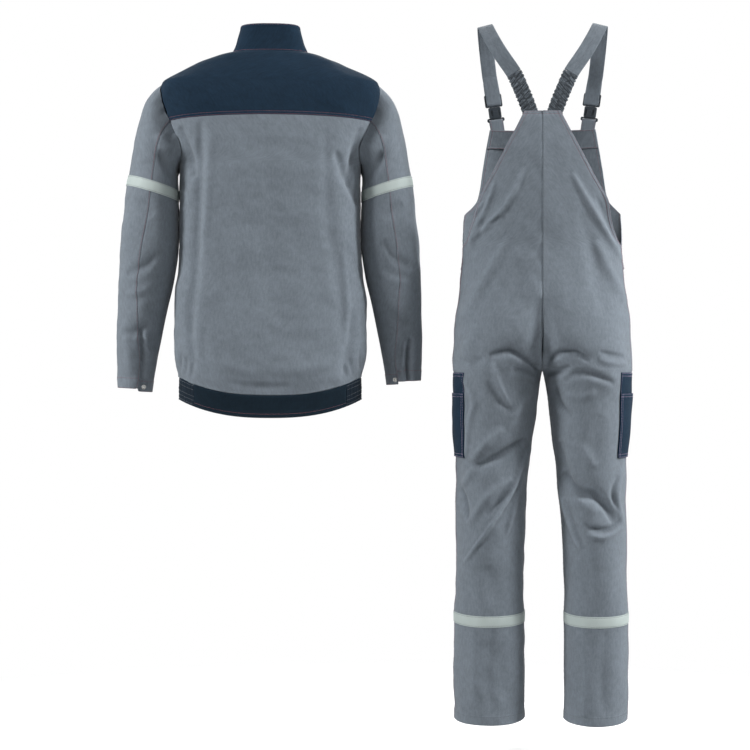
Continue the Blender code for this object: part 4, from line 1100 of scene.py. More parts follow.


def cloth_material(name, colour, contrast=0.20, worn=0.22, fold_tone=FOLD_PAINTED_SHADING,
                   sheen=0.12):
    """Matt twill: diagonal ribs of fine yarn, faintly uneven in tone, paler along edges, with
    painted highlight on fold crests and painted shade in troughs.
    """
    shader = Shader(name, 0.92, Sheen_Weight=sheen, Sheen_Roughness=0.45,
                    Specular_IOR_Level=0.12)
    place = shader.add("UVMap", uv_map="weave").outputs["UV"]
    parts = shader.add("SeparateXYZ", {"Vector": place})
    across, up = parts.outputs["X"], parts.outputs["Y"]
    ribs = shader.wave(shader.math("ADD", across, shader.math("MULTIPLY", up, 0.6)),
                       TWILL_PITCH)
    yarn = shader.wave(up, YARN_PITCH)
    weave = shader.math("MULTIPLY_ADD", yarn, 0.35, ribs)
    soft = shader.noise(place, 9.0, 3.0)
    grain = shader.noise(place, 420.0, 3.0, 0.7)
    slubs = shader.noise(shader.add("Mapping", {"Vector": place,
                                                "Scale": (1.0, 0.35, 1.0)}).outputs[0],
                         230.0, 2.0, 0.6)
    patches = shader.noise(place, 60.0, 2.0, 0.6)
    edge, fold = (shader.add("Attribute", attribute_name=attribute).outputs["Fac"]
                  for attribute in ("wear", "fold"))
    # the fold mark paints crests paler and troughs and inner faces darker: painted highlight and
    # shade, partly crease wear on crests
    tone_and_painted_shading = shader.math("MULTIPLY", fold, fold_tone)
    for value, middle, weight in ((soft, 0.5, 1.0), (grain, 0.5, 1.8), (slubs, 0.5, 2.2),
                                  (patches, 0.5, 1.4), (weave, 0.0, 0.16),
                                  (edge, 0.0, 2 * worn)):
        step = shader.math("SUBTRACT", value, middle)
        tone_and_painted_shading = shader.math("MULTIPLY_ADD", step, weight * contrast, tone_and_painted_shading)
    share = shader.math("MULTIPLY_ADD", tone_and_painted_shading, 0.5 / TONE_RANGE, 0.5)
    shader.colour(scaled(colour, 1 - TONE_RANGE), scaled(colour, 1 + TONE_RANGE),
                  shader.math("MINIMUM", shader.math("MAXIMUM", share, 0.0), 1.0))
    crumple = shader.bump(shader.noise(place, 38.0, 2.0), 0.0009, 0.6)
    slub = shader.bump(grain, 0.00025, 0.5, crumple)
    shader.set(shader.surface, "Normal", shader.bump(weave, 0.00006, 0.5, slub))
    return shader.material


def tape_material():
    """Retroreflective tape: pale silver-green, a fine grain of glass beads."""
    shader = Shader("tape_silver", 0.75, Metallic=0.1, Specular_IOR_Level=0.3)
    place = shader.add("UVMap", uv_map="weave").outputs["UV"]
    beads = shader.noise(place, 900.0, 2.0)
    soft = shader.noise(place, 14.0, 3.0)
    share = shader.math("MULTIPLY_ADD", shader.math("SUBTRACT", beads, 0.5), 0.5, soft)
    shader.colour((0.340, 0.395, 0.385), (0.460, 0.520, 0.505), share)
    shader.set(shader.surface, "Normal", shader.bump(beads, 0.00008, 0.4))
    return shader.material


def thread_material(name, colour):
    """Twisted sewing thread with a soft shine."""
    shader = Shader(name, 0.6, Sheen_Weight=0.2)
    place = shader.add("TexCoord").outputs["Object"]
    twist = shader.noise(place, 900.0, 1.0)
    shader.colour(scaled(colour, 0.8), scaled(colour, 1.2), twist)
    return shader.material


def plastic_material():
    """Moulded nylon: near black, a fine grain, faintly polished where it is handled."""
    shader = Shader("plastic_black", 0.42, Specular_IOR_Level=0.25)
    place = shader.add("TexCoord").outputs["Object"]
    grain = shader.noise(place, 1400.0, 2.0)
    soft = shader.noise(place, 60.0, 2.0)
    shader.colour((0.016, 0.022, 0.029), (0.028, 0.037, 0.047), soft)
    shader.set(shader.surface, "Roughness", shader.math("MULTIPLY_ADD", soft, 0.2, 0.34))
    shader.set(shader.surface, "Normal", shader.bump(grain, 0.00006, 0.4))
    return shader.material


def metal_material():
    """Pressed and plated steel with fine scratches."""
    shader = Shader("snap_metal", 0.28, Metallic=1.0)
    place = shader.add("TexCoord").outputs["Object"]
    scratch = shader.noise(place, 800.0, 3.0, 0.7)
    shader.colour((0.36, 0.36, 0.35), (0.50, 0.50, 0.48), scratch)
    shader.set(shader.surface, "Roughness", shader.math("MULTIPLY_ADD", scratch, 0.25, 0.16))
    return shader.material


GREY = (0.160, 0.187, 0.216)
NAVY = (0.0086, 0.0216, 0.0395)
BAND_NAVY = (0.0062, 0.0140, 0.0225)
MATERIALS = {
    "grey": cloth_material("cloth_grey", GREY),
    "navy": cloth_material("cloth_navy", NAVY, contrast=0.30, worn=0.5, sheen=0.02),
    "band": cloth_material("band_navy", BAND_NAVY, contrast=0.25, worn=0.5, sheen=0.02),
    # the elastic's gathers get about twice the usual painted highlight and painted shade on their
    # folds
    "elastic": cloth_material("elastic_dark", (0.0100, 0.0170, 0.0260), contrast=0.3, worn=0.4,
                              fold_tone=0.5, sheen=0.02),
    "tape": tape_material(),
    "maroon": thread_material("thread_maroon", (0.160, 0.050, 0.072)),
    "dusty": thread_material("thread_dusty", (0.250, 0.185, 0.290)),
    "dark": thread_material("thread_dark", (0.018, 0.026, 0.036)),
    # the ruched piece is the grey cloth painted 20% darker, as shade of its deep gathers, with
    # more than twice the usual painted shading on its folds
    "ruched": cloth_material("cloth_ruched", scaled(GREY, 0.80), 0.25, worn=0.1,
                             fold_tone=0.55),
    "tonal": thread_material("thread_grey", (0.075, 0.088, 0.105)),
    "plastic": plastic_material(),
    "metal": metal_material(),
}
THREAD_SLOTS = {"maroon": "cloth_navy", "dusty": "cloth_navy", "tonal": "cloth_grey",
                "dark": "elastic_dark"}


# --- Jacket: creases ------------------------------------------------------------------

JACKET_BACK_CREASES = creases([
    (30, -2.2, 0, 5, -190, -2, -360, 4, -570),
    (11, -4, 0.3, -144, -150, -150, -300, -157, -440, -167, -600),
    (10, 1.6, 0, -122, -170, -130, -290, -143, -440),
    (10, -2.6, 0.3, -172, -500, -170, -580, -158, -670),
    (10, -1.1, 0, -134, -580, -138, -630, -124, -675),
    (28, -1.4, 0, -100, -300, -94, -440, -100, -600),
    (28, -1.4, 0, 104, -300, 98, -450, 104, -580),
    (16, -1.9, -0.3, 116, -165, 124, -350, 146, -500, 152, -620),
    (7, 1.4, -0.4, 152, -420, 161, -520, 160, -620),
    (10, -3.6, -0.4, 136, -215, 160, -270, 184, -325),
    (9, -4, 0.5, -188, -165, -172, -215, -160, -270),
    (9, -4, -0.5, 190, -165, 176, -220, 168, -290),
    (12, -3.2, -0.4, 176, -540, 168, -620, 152, -690),
    (4, -1.8, 0, -174, -640, -176, -676),
    (4, -1.8, 0, -163, -652, -162, -682),
    (4, -1.6, 0, -185, -630, -187, -672),
    (4, -1.8, 0, 168, -642, 173, -678),
    (5, -1.8, 0, 157, -655, 160, -684),
    (4, -1.6, 0, 187, -625, 188, -670),
    (11, 1.1, 0, -120, -650, -50, -668, 20, -672),
    (12, 1.3, 0, -20, -655, 50, -668, 124, -655),
    (8, -1.6, 0, -90, -690, -30, -702, 40, -700),
])
JACKET_FRONT_CREASES = creases([
    (34, -2.2, 0, 70, -130, 62, -300, 70, -520),
    (20, 3, 0.4, 160, -200, 148, -330, 152, -560),
    (13, -3.6, 0.4, 182, -190, 160, -240, 130, -280),
    (15, -3, -0.4, 110, -480, 120, -580, 100, -670),
    (12, 2.4, 0, 40, -600, 80, -640, 140, -650),
])


FRONT_SHIFT = (0.006, 0.012)     # how far the two fronts' creases lie apart from each other's
PLACKET_EDGE = 0.024             # from here out, over this much, the fronts' creases set in
PLACKET_FADE = 0.020


def jacket_relief(front):
    """The unevenness of the jacket's body: its back's creases, and those of one front."""
    side = -1.0 if front else 1.0

    def relief(points, normal):
        x, z = points[..., 0], points[..., 2]
        height = uneven(points, 0.0016, 0.0005, (11, 12), 0.022)
        height = height + crease_height(JACKET_BACK_CREASES, x, z) * facing(normal, -1)
        folds = crease_height(JACKET_FRONT_CREASES, np.abs(x) + FRONT_SHIFT[0] * side,
                              z + FRONT_SHIFT[1] * side)
        clear = smooth_step((np.abs(x) - PLACKET_EDGE) / PLACKET_FADE)
        return height + folds * facing(normal, 1) * clear
    return relief


def plain(points, normal):
    """The slight unevenness of the stiffer strips: placket, collar and waistband."""
    return 0.0004 * waves(points, 21, 0.02, 0.07)


def gathers(run, away, pitch, reach, height, seed):
    """Uneven gathers that start at an edge and fade away from it."""
    fine = ripple(run, pitch, seed) * np.exp(-away / (0.35 * reach))
    return height * (fine + 1.3 * ripple(run, pitch * 2.6, seed + 1) * np.exp(-away / reach))


# --- Jacket: pieces -------------------------------------------------------------------

SEAM_TURN = 0.05                 # degrees that a torso panel gives up at a seam
SLEEVE_SEAM_TURN = 0.12
BAND_BACK_TURN = 52.0            # where the waistband's back piece meets its elastic
BAND_FRONT_TURN = 115.5
COLLAR_END = 179.7               # degrees from the centre back to the collar's two ends
PLACKET_WIDTH = 0.045
PLACKET_LIFT = 0.0006
EDGE_ROW = 0.0018                # a stitch row along an edge
FELL_ROWS = (0.0016, 0.0072)     # the two rows of a felled seam
HEM = Edge("hem", (EDGE_ROW,))
FELLED = Edge("lapped", FELL_ROWS)
TUCKED = Edge("tucked")
LAID = Edge("plain")
RUN_ON = Edge("tucked", (), -0.0013)       # just under a neighbour that is laid on
RUN_ON_LOW = Edge("tucked", (), -0.0010)
TUCKED_LOW = Edge("tucked", (), 0.0020)    # under a neighbour that is tucked in too


def body_edge(level, before=False):
    """The turn at which a body panel ends: side seam, armhole or shoulder seam."""
    step = np.interp(-np.asarray(level), -ARMHOLE_LEVEL, np.arange(ARMHOLE_STEPS + 1))
    columns = ARMHOLE.at(step)
    return SIDE_SEAM + (columns["before"] if before else -columns["behind"])


def across_back(level):
    edge = even_at(body_edge(level) - SEAM_TURN)
    return -edge, edge


def across_front(level):
    edge = even_at(body_edge(level, before=True) + SEAM_TURN)
    return edge, np.full(len(edge), 180.0 - SEAM_TURN)


def fixed(low, high):
    """Edges at the same two places on every level."""
    return lambda level: (np.full(len(level), low), np.full(len(level), high))


def between(low, high):
    """Edges at fixed turns of the torso."""
    return fixed(*even_at(np.array([low, high], float)))


def front_strip(offset, level):
    """The torso's front, by degrees either side of its centre."""
    point = even_torso(180.0 - np.abs(offset), level)
    point[..., 0] *= -np.sign(offset)
    return point


def placket_edges(level):
    turn = np.linspace(150.0, 180.0, 121)
    x = even_torso(turn[None, :], level[:, None])[..., 0]
    half = np.array([np.interp(PLACKET_WIDTH / 2, row[::-1], 180.0 - turn[::-1]) for row in x])
    return -half, half


HEM_GATHERS = {"pitch": 0.0085, "reach": 0.045, "height": 0.0011}


def hem_gathers(points, run, up, widths):
    """The back's lower edge is drawn in by the elastic at each side."""
    beside = np.minimum(run, widths - run)
    drawn = 1 - smooth_step((beside - 0.050) / 0.045)
    return drawn * gathers(run, up, seed=31, **HEM_GATHERS)


def front_gathers(points, run, up, widths):
    drawn = 1 - smooth_step((run - 0.030) / 0.050)
    return drawn * gathers(run, up, seed=37, **HEM_GATHERS)


SHIRR_ROWS = (0.0042, 0.0124, 0.0206)      # the rows that sew the waistband's elastic in
SHIRR_PITCH = 0.0082


def shirring(points, run, up, widths):
    """Short upright gathers between the rows that sew the elastic in."""
    share = np.abs(np.sin(np.pi * (up - SHIRR_ROWS[0]) / SHIRR_PITCH))
    return 0.0009 * ripple(run, 0.0052, 41) * (0.35 + 0.65 * share)


def jacket_body():
    torso_panel = partial(panel, garment=JACKET, surface=even_torso, steps=TORSO_STEPS)
    grey, navy = MATERIALS["grey"], MATERIALS["navy"]
    torso_panel("back", relief=jacket_relief(0), across=across_back, bottom=HEM_LEVEL,
                top=YOKE_LEVEL - SEAM, edges=(RUN_ON, RUN_ON, TUCKED, TUCKED),
                slot="cloth_grey", material=grey, node="jacket_back", extra=hem_gathers,
                seed=1)
    torso_panel("back_yoke", relief=jacket_relief(0), across=across_back,
                bottom=YOKE_LEVEL + SEAM, top=NECK_LEVEL,
                edges=(RUN_ON, RUN_ON, FELLED, TUCKED), slot="cloth_navy",
                material=navy, node="jacket_back_yoke", seed=2, lift=0.0005)
    for number, (side, sign) in enumerate(SIDES):
        torso_panel("front_" + side, relief=jacket_relief(number), across=across_front,
                    bottom=HEM_LEVEL, top=NECK_LEVEL,
                    edges=(RUN_ON_LOW, SEWN, TUCKED, TUCKED),
                    slot="cloth_grey", material=grey, mirror=sign < 0,
                    node="jacket_front_" + side, extra=front_gathers, seed=3 + number)
    strip_hem = Edge("hem", (0.0060,))
    panel("placket", JACKET, front_strip, TORSO_STEPS, plain, placket_edges, BAND_BOTTOM,
          NECK_LEVEL, (strip_hem, strip_hem, HEM, SEWN), "cloth_grey", grey,
          lift=PLACKET_LIFT + CLOTH, node="jacket_front_placket", seed=6)
    panel("collar", JACKET, even_collar, COLLAR_STEPS, plain,
          fixed(-COLLAR_END, COLLAR_END), 0.0, 1.0,
          (HEM, HEM, Edge("lapped", (EDGE_ROW,)), Edge("hem", (EDGE_ROW,), 0.0050)),
          "cloth_navy", navy, node="jacket_collar", seed=7)
    band = partial(torso_panel, relief=plain, bottom=BAND_BOTTOM, top=HEM_LEVEL - GAP)
    band_edges = (TUCKED, TUCKED, Edge("hem", (0.0080,), 0.0092), Edge("lapped"))
    band("band_back", across=between(SEAM_TURN - BAND_BACK_TURN, BAND_BACK_TURN - SEAM_TURN),
         edges=band_edges, slot="cloth_navy", material=MATERIALS["band"],
         node="waistband_back", seed=8)
    shirred = (SEWN, SEWN, Edge("hem", SHIRR_ROWS, 0.0, "tonal"),
               Edge("sewn", SHIRR_ROWS[:2], 0.0, "tonal"))
    for number, (side, sign) in enumerate(SIDES):
        band("band_elastic_" + side, across=between(BAND_BACK_TURN + SEAM_TURN,
                                                    BAND_FRONT_TURN - SEAM_TURN),
             edges=shirred, slot="elastic_dark", material=MATERIALS["elastic"], mirror=sign < 0,
             node="waistband_elastic_" + side, held="gathered", extra=shirring,
             seed=9 + number, spacing=0.0016)
        band("band_front_" + side, across=between(BAND_FRONT_TURN + SEAM_TURN,
                                                  180.0 - SEAM_TURN),
             edges=(TUCKED, SEWN, *band_edges[2:]), slot="cloth_navy",
             material=MATERIALS["band"], mirror=sign < 0,
             node="waistband_front_" + side, seed=11 + number)


SLEEVE_CREASES = {
    1: creases([
        (9, -8, 0.3, 233, -215, 209, -258, 194, -282),
        (15, 2.8, 0, 235, -178, 202, -233),
        (22, 2, 0, 260, -150, 250, -230),
        (13, -2.2, 0.3, 275, -320, 232, -352),
        (16, 2.4, 0, 290, -350, 296, -470),
        (12, -3, 0.5, 230, -400, 262, -440, 302, -452),
        (10, 2.2, 0, 215, -445, 248, -478, 295, -484),
        (11, -2.6, 0.5, 240, -540, 272, -566, 306, -570),
        (5, -3, 0.4, 236, -640, 256.3, -665, 277, -678),
        (4, -2, 0, 235, -672, 255, -681),
        (6, -8, 0, 294, -600, 288, -652, 291, -705),
        (5, 2.2, 0, 282, -605, 280, -665),
    ]),
    -1: creases([
        (9, -8, 0.3, 230, -216, 207, -262, 194, -284),
        (15, 2.8, 0, 233, -180, 199, -236),
        (22, 2, 0, 263, -160, 256, -240),
        (14, -2.4, 0.3, 282, -310, 240, -345),
        (16, 2.2, 0, 296, -340, 302, -440),
        (11, -3, 0.5, 220, -418, 256, -452, 298, -470),
        (10, 2.2, 0, 224, -470, 260, -500, 302, -510),
        (11, -2.8, 0.5, 248, -570, 280, -590, 310, -590),
        (7, -8, 0, 268, -580, 264, -640, 265.5, -680, 272, -714),
        (8, -4.4, -0.4, 245, -580, 240, -625, 235, -660),
        (5, 2.8, 0, 267, -610, 248.9, -637, 236, -660),
        (12, 1.8, 0, 307, -560, 296, -630, 293, -680),
    ]),
}
SLEEVE_FRONT_CREASES = creases([
    (11, -5, 0.4, 234, -200, 212, -250, 196, -275),
    (13, -4, 0.4, 295, -400, 250, -420, 215, -405),
    (12, 3, 0, 300, -450, 260, -460, 215, -440),
    (12, -3.4, -0.4, 305, -500, 270, -495, 230, -500),
    (11, 2.2, 0, 300, -600, 270, -620, 245, -640),
])
BESIDE_BODY = 0.0016             # how much fuller a sleeve is where it hangs against the body
BESIDE_TOP = -0.31
BESIDE_BOTTOM = -0.46
STILLED = 0.85                   # how much flatter its creases are there


def sleeve_relief(side):
    def relief(points, normal):
        x, z = points[..., 0], points[..., 2]
        height = uneven(points, 0.0010, 0.0006, (50 + side, 60 + side))
        height = height + crease_height(SLEEVE_CREASES[side], x, z) * facing(normal, -1)
        front = crease_height(SLEEVE_FRONT_CREASES, x, z + 0.010 * side)
        height = height + front * facing(normal, 1)
        close = smooth_step(-normal[..., 0] / 0.8)
        beside = (smooth_step((z - BESIDE_BOTTOM) / 0.06)
                  * smooth_step((BESIDE_TOP - z) / 0.03))
        return height * (1 - STILLED * close) + BESIDE_BODY * close * beside
    return relief


VENT_TURN = 0.8                  # degrees that each side of the cuff's vent stands back
SEAM_SHIFT = {1: 12.0, -1: 0.0}  # how far each sleeve's back seam turns outward by its cuff
CORNER = 0.013                   # the rounded corners of the cuff's vent
CORNER_TURN = 10.0


def sleeve_seams(station, side):
    """The angles of a sleeve's back and front seams, with half of each seam's gap."""
    columns = SLEEVE.at(station)
    vent = np.where(station > CUFF_VENT, VENT_TURN, 0.0)
    turned = SEAM_SHIFT[side] * smooth_step(station / UPPER_SLEEVE_END) ** 2
    return columns["back_seam"] + turned, columns["front_seam"], SLEEVE_SEAM_TURN + vent


def corner(station, end):
    """How far, in degrees, a rounded corner stands back from the vent near the cuff's end."""
    near = np.clip(1 - (end - station) / CORNER, 0.0, 0.99)
    return CORNER_TURN * (1 - np.sqrt(1 - near ** 2))


def across_upper(station, side):
    back, front, gap = sleeve_seams(station, side)
    return front + SLEEVE_SEAM_TURN, back - gap - corner(station, UPPER_SLEEVE_END)


def across_under(station, side):
    back, front, gap = sleeve_seams(station, side)
    return back + gap + corner(station, UNDER_SLEEVE_END), 360.0 + front - SLEEVE_SEAM_TURN


def cap_ease(points, run, up, widths):
    """The sleeve head's fullness, eased into the armhole in small puckers."""
    return gathers(run, up, 0.014, 0.020, 0.0005, 71)


def jacket_sleeves():
    grey = MATERIALS["grey"]
    cuff = Edge("hem", (EDGE_ROW, 0.0230), 0.0240)
    for side, sign in SIDES:
        sleeve_panel = partial(panel, garment=JACKET, surface=partial(sleeve, side=sign),
                               steps=SLEEVE_STEPS, relief=sleeve_relief(sign),
                               bottom=0.0006, slot="cloth_grey", material=grey,
                               mirror=sign < 0, extra=cap_ease)
        sleeve_panel("upper_sleeve_" + side, across=partial(across_upper, side=sign),
                     top=UPPER_SLEEVE_END, edges=(SEWN, Edge("lapped", (EDGE_ROW,)), LAID, cuff),
                     node="sleeve_upper_" + side, seed=13 + sign)
        sleeve_panel("under_sleeve_" + side, across=partial(across_under, side=sign),
                     top=UNDER_SLEEVE_END, edges=(TUCKED, TUCKED, LAID, cuff),
                     node="sleeve_under_" + side, seed=17 + sign)
        tape_ring("arm_tape_" + side, JACKET, partial(sleeve, side=sign), SLEEVE_STEPS,
                  sleeve_relief(sign), SLEEVE_TAPE, sign < 0, "sleeve_tape_" + side)


TAPE_ROW = 0.0022                # the tape's stitch rows, from its edges
TAPE_STEP = 3.0                  # degrees between a tape's points
TAPE_DIP = 0.0005                # how deep its stitch rows and its edges lie
TAPE_SWELL = 0.0003              # how high it waves, along its edges and slantwise


def tape_ring(name, garment, surface, steps, relief, levels, mirror, node):
    """Reflective tape sewn round a sleeve or a leg."""
    depth = abs(levels[1] - levels[0])
    marks = np.concatenate([np.append(EDGE_MARKS, TAPE_ROW - 0.0007), [TAPE_ROW, 0.0032],
                            np.linspace(0.006, depth - 0.006, 4)])
    up = np.unique(np.round(np.concatenate([marks, depth - marks]), 5))
    angle = np.arange(0.0, 360.0, TAPE_STEP)
    v = levels[0] + (levels[1] - levels[0]) * up / depth
    u, v = np.broadcast_arrays(angle[None, :], v[:, None])
    points = surface(u, v)
    normal = normals(surface, u, v, *steps)
    away = np.minimum(up, depth - up)[:, None]
    run = run_along(points, 1)
    height = (relief(points, normal) + GAP + TAPE
              - TAPE_DIP * bell(away - TAPE_ROW, 0.0008) - TAPE_DIP * bell(away, 0.0006)
              + TAPE_SWELL * ripple(run, 0.012, 81) * np.exp(-away / 0.004)
              + TAPE_SWELL * ripple(run + 0.4 * up[:, None], 0.035, 82))
    outer = points + normal * height[..., None]
    inner = outer - normal * TAPE
    for row in (TAPE_ROW, depth - TAPE_ROW):
        line = int(np.argmin(np.abs(up - row)))
        ring = [np.vstack([grid[line], grid[line, :1]]) for grid in (outer, normal)]
        THREADS.setdefault((garment, "tonal"), []).append((*ring, mirror))
    uv = np.stack([run, np.broadcast_to(up[:, None], run.shape)], axis=-1)
    piece = wall_mesh(name, garment, mirror, outer, inner, "tape_silver", MATERIALS["tape"],
                      node, uv, closed=True)


# --- Overalls: creases ----------------------------------------------------------------

LEG_CREASES = {
    1: creases([
        (8, 3, 0.4, 60, -262, 98, -330, 128, -380, 166, -440),
        (6, 2.6, 0, 124, -296, 146, -345, 160, -400),
        (7, -1.6, 0, 110, -310, 134, -360, 152, -410),
        (11, 3, 0.4, 108, -400, 140, -470, 172, -530),
        (18, -2.2, 0, 78, -340, 112, -460, 130, -560),
        (16, -3, 0, 2, -520, 10, -600, 6, -668),
        (7.5, -4.2, 0.6, 4, -657, 30, -637, 68, -634, 96, -650),
        (7, -2.8, 0, 6, -674, 30, -672, 58, -660),
        (6, -2.4, 0, 116, -630, 140, -637, 168, -640),
        (8, 2.6, 0, 114, -644, 140, -653, 176, -655),
        (8, -4.2, 0.5, 46, -692, 62, -679, 100, -678, 148, -696),
        (8, -3.4, -0.4, 26, -700, 34, -735, 62, -764),
        (9, 2, 0, 44, -718, 80, -722, 112, -713),
        (9, -3.4, 0, 34, -815, 44, -860, 58, -897),
        (10, 2.4, 0, 64, -812, 88, -838, 110, -866),
        (10, -6.2, 0.5, 38, -882, 60, -908, 80, -922, 106, -929, 127, -950, 148, -985),
        (12, 2.6, 0, 50, -932, 85, -946, 112, -962),
        (7, -4, 0.4, 82, -984, 108, -998, 140, -996, 162, -978),
        (7, 2.6, 0, 90, -1006, 126, -1012, 166, -990),
        (5, 3, 0, 33, -900, 48, -965, 78, -1040),
        (7, -2.2, 0, 46, -935, 62, -990, 88, -1036),
        (7, 3, 0, 167, -862, 153, -925, 167, -990),
        (5, -3, 0, 157, -886, 145, -925, 157, -960),
        (18, -2, 0, 120, -760, 104, -860),
        (16, -2, 0, 80, -1060, 100, -1150),
        (14, -2.2, 0.3, 130, -1205, 122, -1310, 128, -1380),
        (13, 2.4, 0, 82, -1205, 90, -1300, 84, -1385),
    ]),
    -1: creases([
        (8, 3, 0.4, 36, -250, 55, -299, 83, -340, 113, -368, 152, -402),
        (4, -1.6, 0, 86, -350, 100, -361, 114, -368),
        (7, 2.8, 0, 98, -276, 118, -340, 135, -365, 152, -420),
        (5, 2.2, 0, 120, -316, 138, -343, 150, -385),
        (6, -1.4, 0, 104, -314, 121, -356, 132, -400),
        (5, -1.3, 0, 142, -338, 152, -380),
        (12, 2.8, 0.4, 70, -395, 112, -470, 163, -560),
        (20, -2, 0, 40, -440, 62, -560),
        (16, -3, 0, 2, -520, 10, -600, 6, -668),
        (7.5, -4.4, 0.6, 10, -668, 34, -648, 68, -630, 110, -639),
        (6, -2.4, 0, 14, -680, 40, -666, 62, -668),
        (14, 3, 0, 136, -570, 162, -645),
        (10, -2.4, 0, 122, -642, 152, -658),
        (7, 3.4, 0, 104, -650, 90, -698, 66, -745),
        (9, -2.8, 0, 114, -688, 92, -722, 61, -757),
        (10, 3.4, 0, 80, -786, 108, -810, 150, -858),
        (6, 2.8, 0, 172, -668, 143, -732, 150, -770, 160, -850),
        (10, 2.2, 0, 20, -696, 45, -740, 68, -792),
        (8, -4.8, 0.5, 32, -810, 75, -836, 142, -872),
        (5, 3.8, 0, 35, -832, 58, -905, 105, -985, 162, -1066),
        (7, -2.6, 0, 66, -896, 114, -972),
        (5, 3.2, 0, 27, -826, 48, -915, 74, -1012),
        (6, -2.2, 0, 38, -870, 60, -960),
        (11, 3.4, 0, 65, -890, 122, -938, 153, -988),
        (6, -4, 0, 169, -912, 161, -945, 154, -978),
        (8, 2.8, 0, 136, -862, 167, -908),
        (16, -2.2, 0, 110, -1070, 96, -1150),
        (13, -2.4, 0.3, 100, -1205, 108, -1300, 100, -1380),
        (12, 2.2, 0, 145, -1210, 140, -1290, 146, -1370),
    ]),
}
LEG_FRONT_CREASES = creases([
    (12, -3, 0.4, 20, -500, 40, -600, 60, -680),
    (10, -4, 0.4, 10, -640, 60, -632, 130, -610),
    (9, 2.8, 0, 16, -670, 70, -690, 120, -680),
    (12, -4, 0.4, 60, -860, 110, -890, 160, -880),
    (10, 3.4, 0, 50, -940, 100, -925, 160, -945),
    (10, -2.6, -0.4, 60, -1010, 120, -1030, 165, -1000),
    (15, -2.2, 0, 110, -1060, 104, -1150),
    (13, -2.4, 0.3, 90, -1210, 98, -1300, 92, -1385),
    (12, 2.2, 0, 140, -1210, 150, -1360),
])
BIB_CREASES = creases([
    (24, -2.4, 0, -80, -180, -60, -290, -70, -430),
    (24, -2.4, 0, 75, -180, 68, -300, 78, -430),
    (14, 2.6, 0, -120, -300, -60, -360, -20, -440),
    (14, 2.6, 0, 120, -310, 70, -380, 30, -445),
])
CROTCH_FILL = 0.0014             # how much fuller the legs are where they meet at the crotch
CROTCH_WIDTH = 0.012
CROTCH_TOP = -0.625


def at_crotch(x, z):
    """How near points are to the centre seam where it reaches the crotch, 0 to 1."""
    return (smooth_step((CROTCH_WIDTH - x) / 0.008)
            * smooth_step((CROTCH_TOP - z) / 0.025))


def leg_relief(side):
    def relief(points, normal):
        x, z = points[..., 0], points[..., 2]
        height = uneven(points, 0.0012, 0.0006, (90 + side, 95 + side))
        height = height + crease_height(LEG_CREASES[side], x, z) * facing(normal, -1)
        front = crease_height(LEG_FRONT_CREASES, x, z + 0.011 * side) * facing(normal, 1)
        height = height + front * smooth_step((x - 0.004) / 0.012)
        near = at_crotch(x, z)
        return height * (1 - near) + CROTCH_FILL * near
    return relief


def flat_bib(points, normal):
    height = uneven(points, 0.0008, 0.0004, (101, 102))
    return height + crease_height(BIB_CREASES, points[..., 0], points[..., 2])


# --- Overalls: pieces -----------------------------------------------------------------

LEG_SEAM_TURN = 0.08
BIB_STEPS = (0.004, -0.0005)     # the steps normals() takes on the bib
EDGE_OF_BACK, EDGE_OF_BIB = Sections(BACK_EDGE), Sections(BIB_EDGE)


def outer_seam(level):
    """The outer seam's angle, and half of what the pieces stand apart there."""
    depth = np.minimum(OPENING_TOP - level, level - OPENING_BOTTOM)
    apart = smooth_step(depth / 0.008)
    return OUTER_SEAM, LEG_SEAM_TURN + apart * OPENING_GAP / 2


def inner_seam(level, side):
    """The inseam's angle below the crotch, and that of the centre seam above it."""
    return np.where(level < CROTCH_LEVEL - GAP, 180.0 - LEG_SEAM_TURN,
                    leg_turn_at(SEAM, level, side))


def across_leg_back(level, side):
    seam, gap = outer_seam(level)
    foot = BACK_EDGE[-1]
    free = leg_turn_at(EDGE_OF_BACK.at(level)["half_width"], level, side)
    start = leg_turn_at(foot.half_width, foot.level, side)
    share = np.clip((level - OPENING_TOP) / (foot.level - OPENING_TOP), 0, 1)
    outer = np.where(level > foot.level, free, seam + gap + (start - seam - gap) * share)
    return outer, inner_seam(level, side)


def across_leg_front(level, side):
    seam, gap = outer_seam(level)
    return seam - gap, -inner_seam(level, side)


def bib_edge_turn(level, side):
    """The bib's edge: the outer seam up to the side opening's top, then its free edge."""
    corner = BIB_EDGE[-1]
    free = -leg_turn_at(EDGE_OF_BIB.at(level)["half_width"], level, side)
    seam, gap = outer_seam(level)
    corner_turn = -leg_turn_at(corner.half_width, corner.level, side)
    share = (level - OPENING_TOP) / (corner.level - OPENING_TOP)
    wing = seam - gap + (corner_turn - seam + gap) * np.clip(share, 0, 1)
    return np.where(level > corner.level + GAP, free, wing)


def bib_surface(share, level):
    """The bib, from its left edge (-1) across the centre front (0) to its right edge (1)."""
    share, level = np.broadcast_arrays(share, level)
    halves = []
    for side in (-1, 1):
        centre = -leg_turn_at(0.0, level, side)
        turn = centre + (bib_edge_turn(level, side) - centre) * np.abs(share)
        halves.append(legs(turn, level, side) * np.array([side, 1.0, 1.0]))
    return np.where((share < 0)[..., None], *halves)


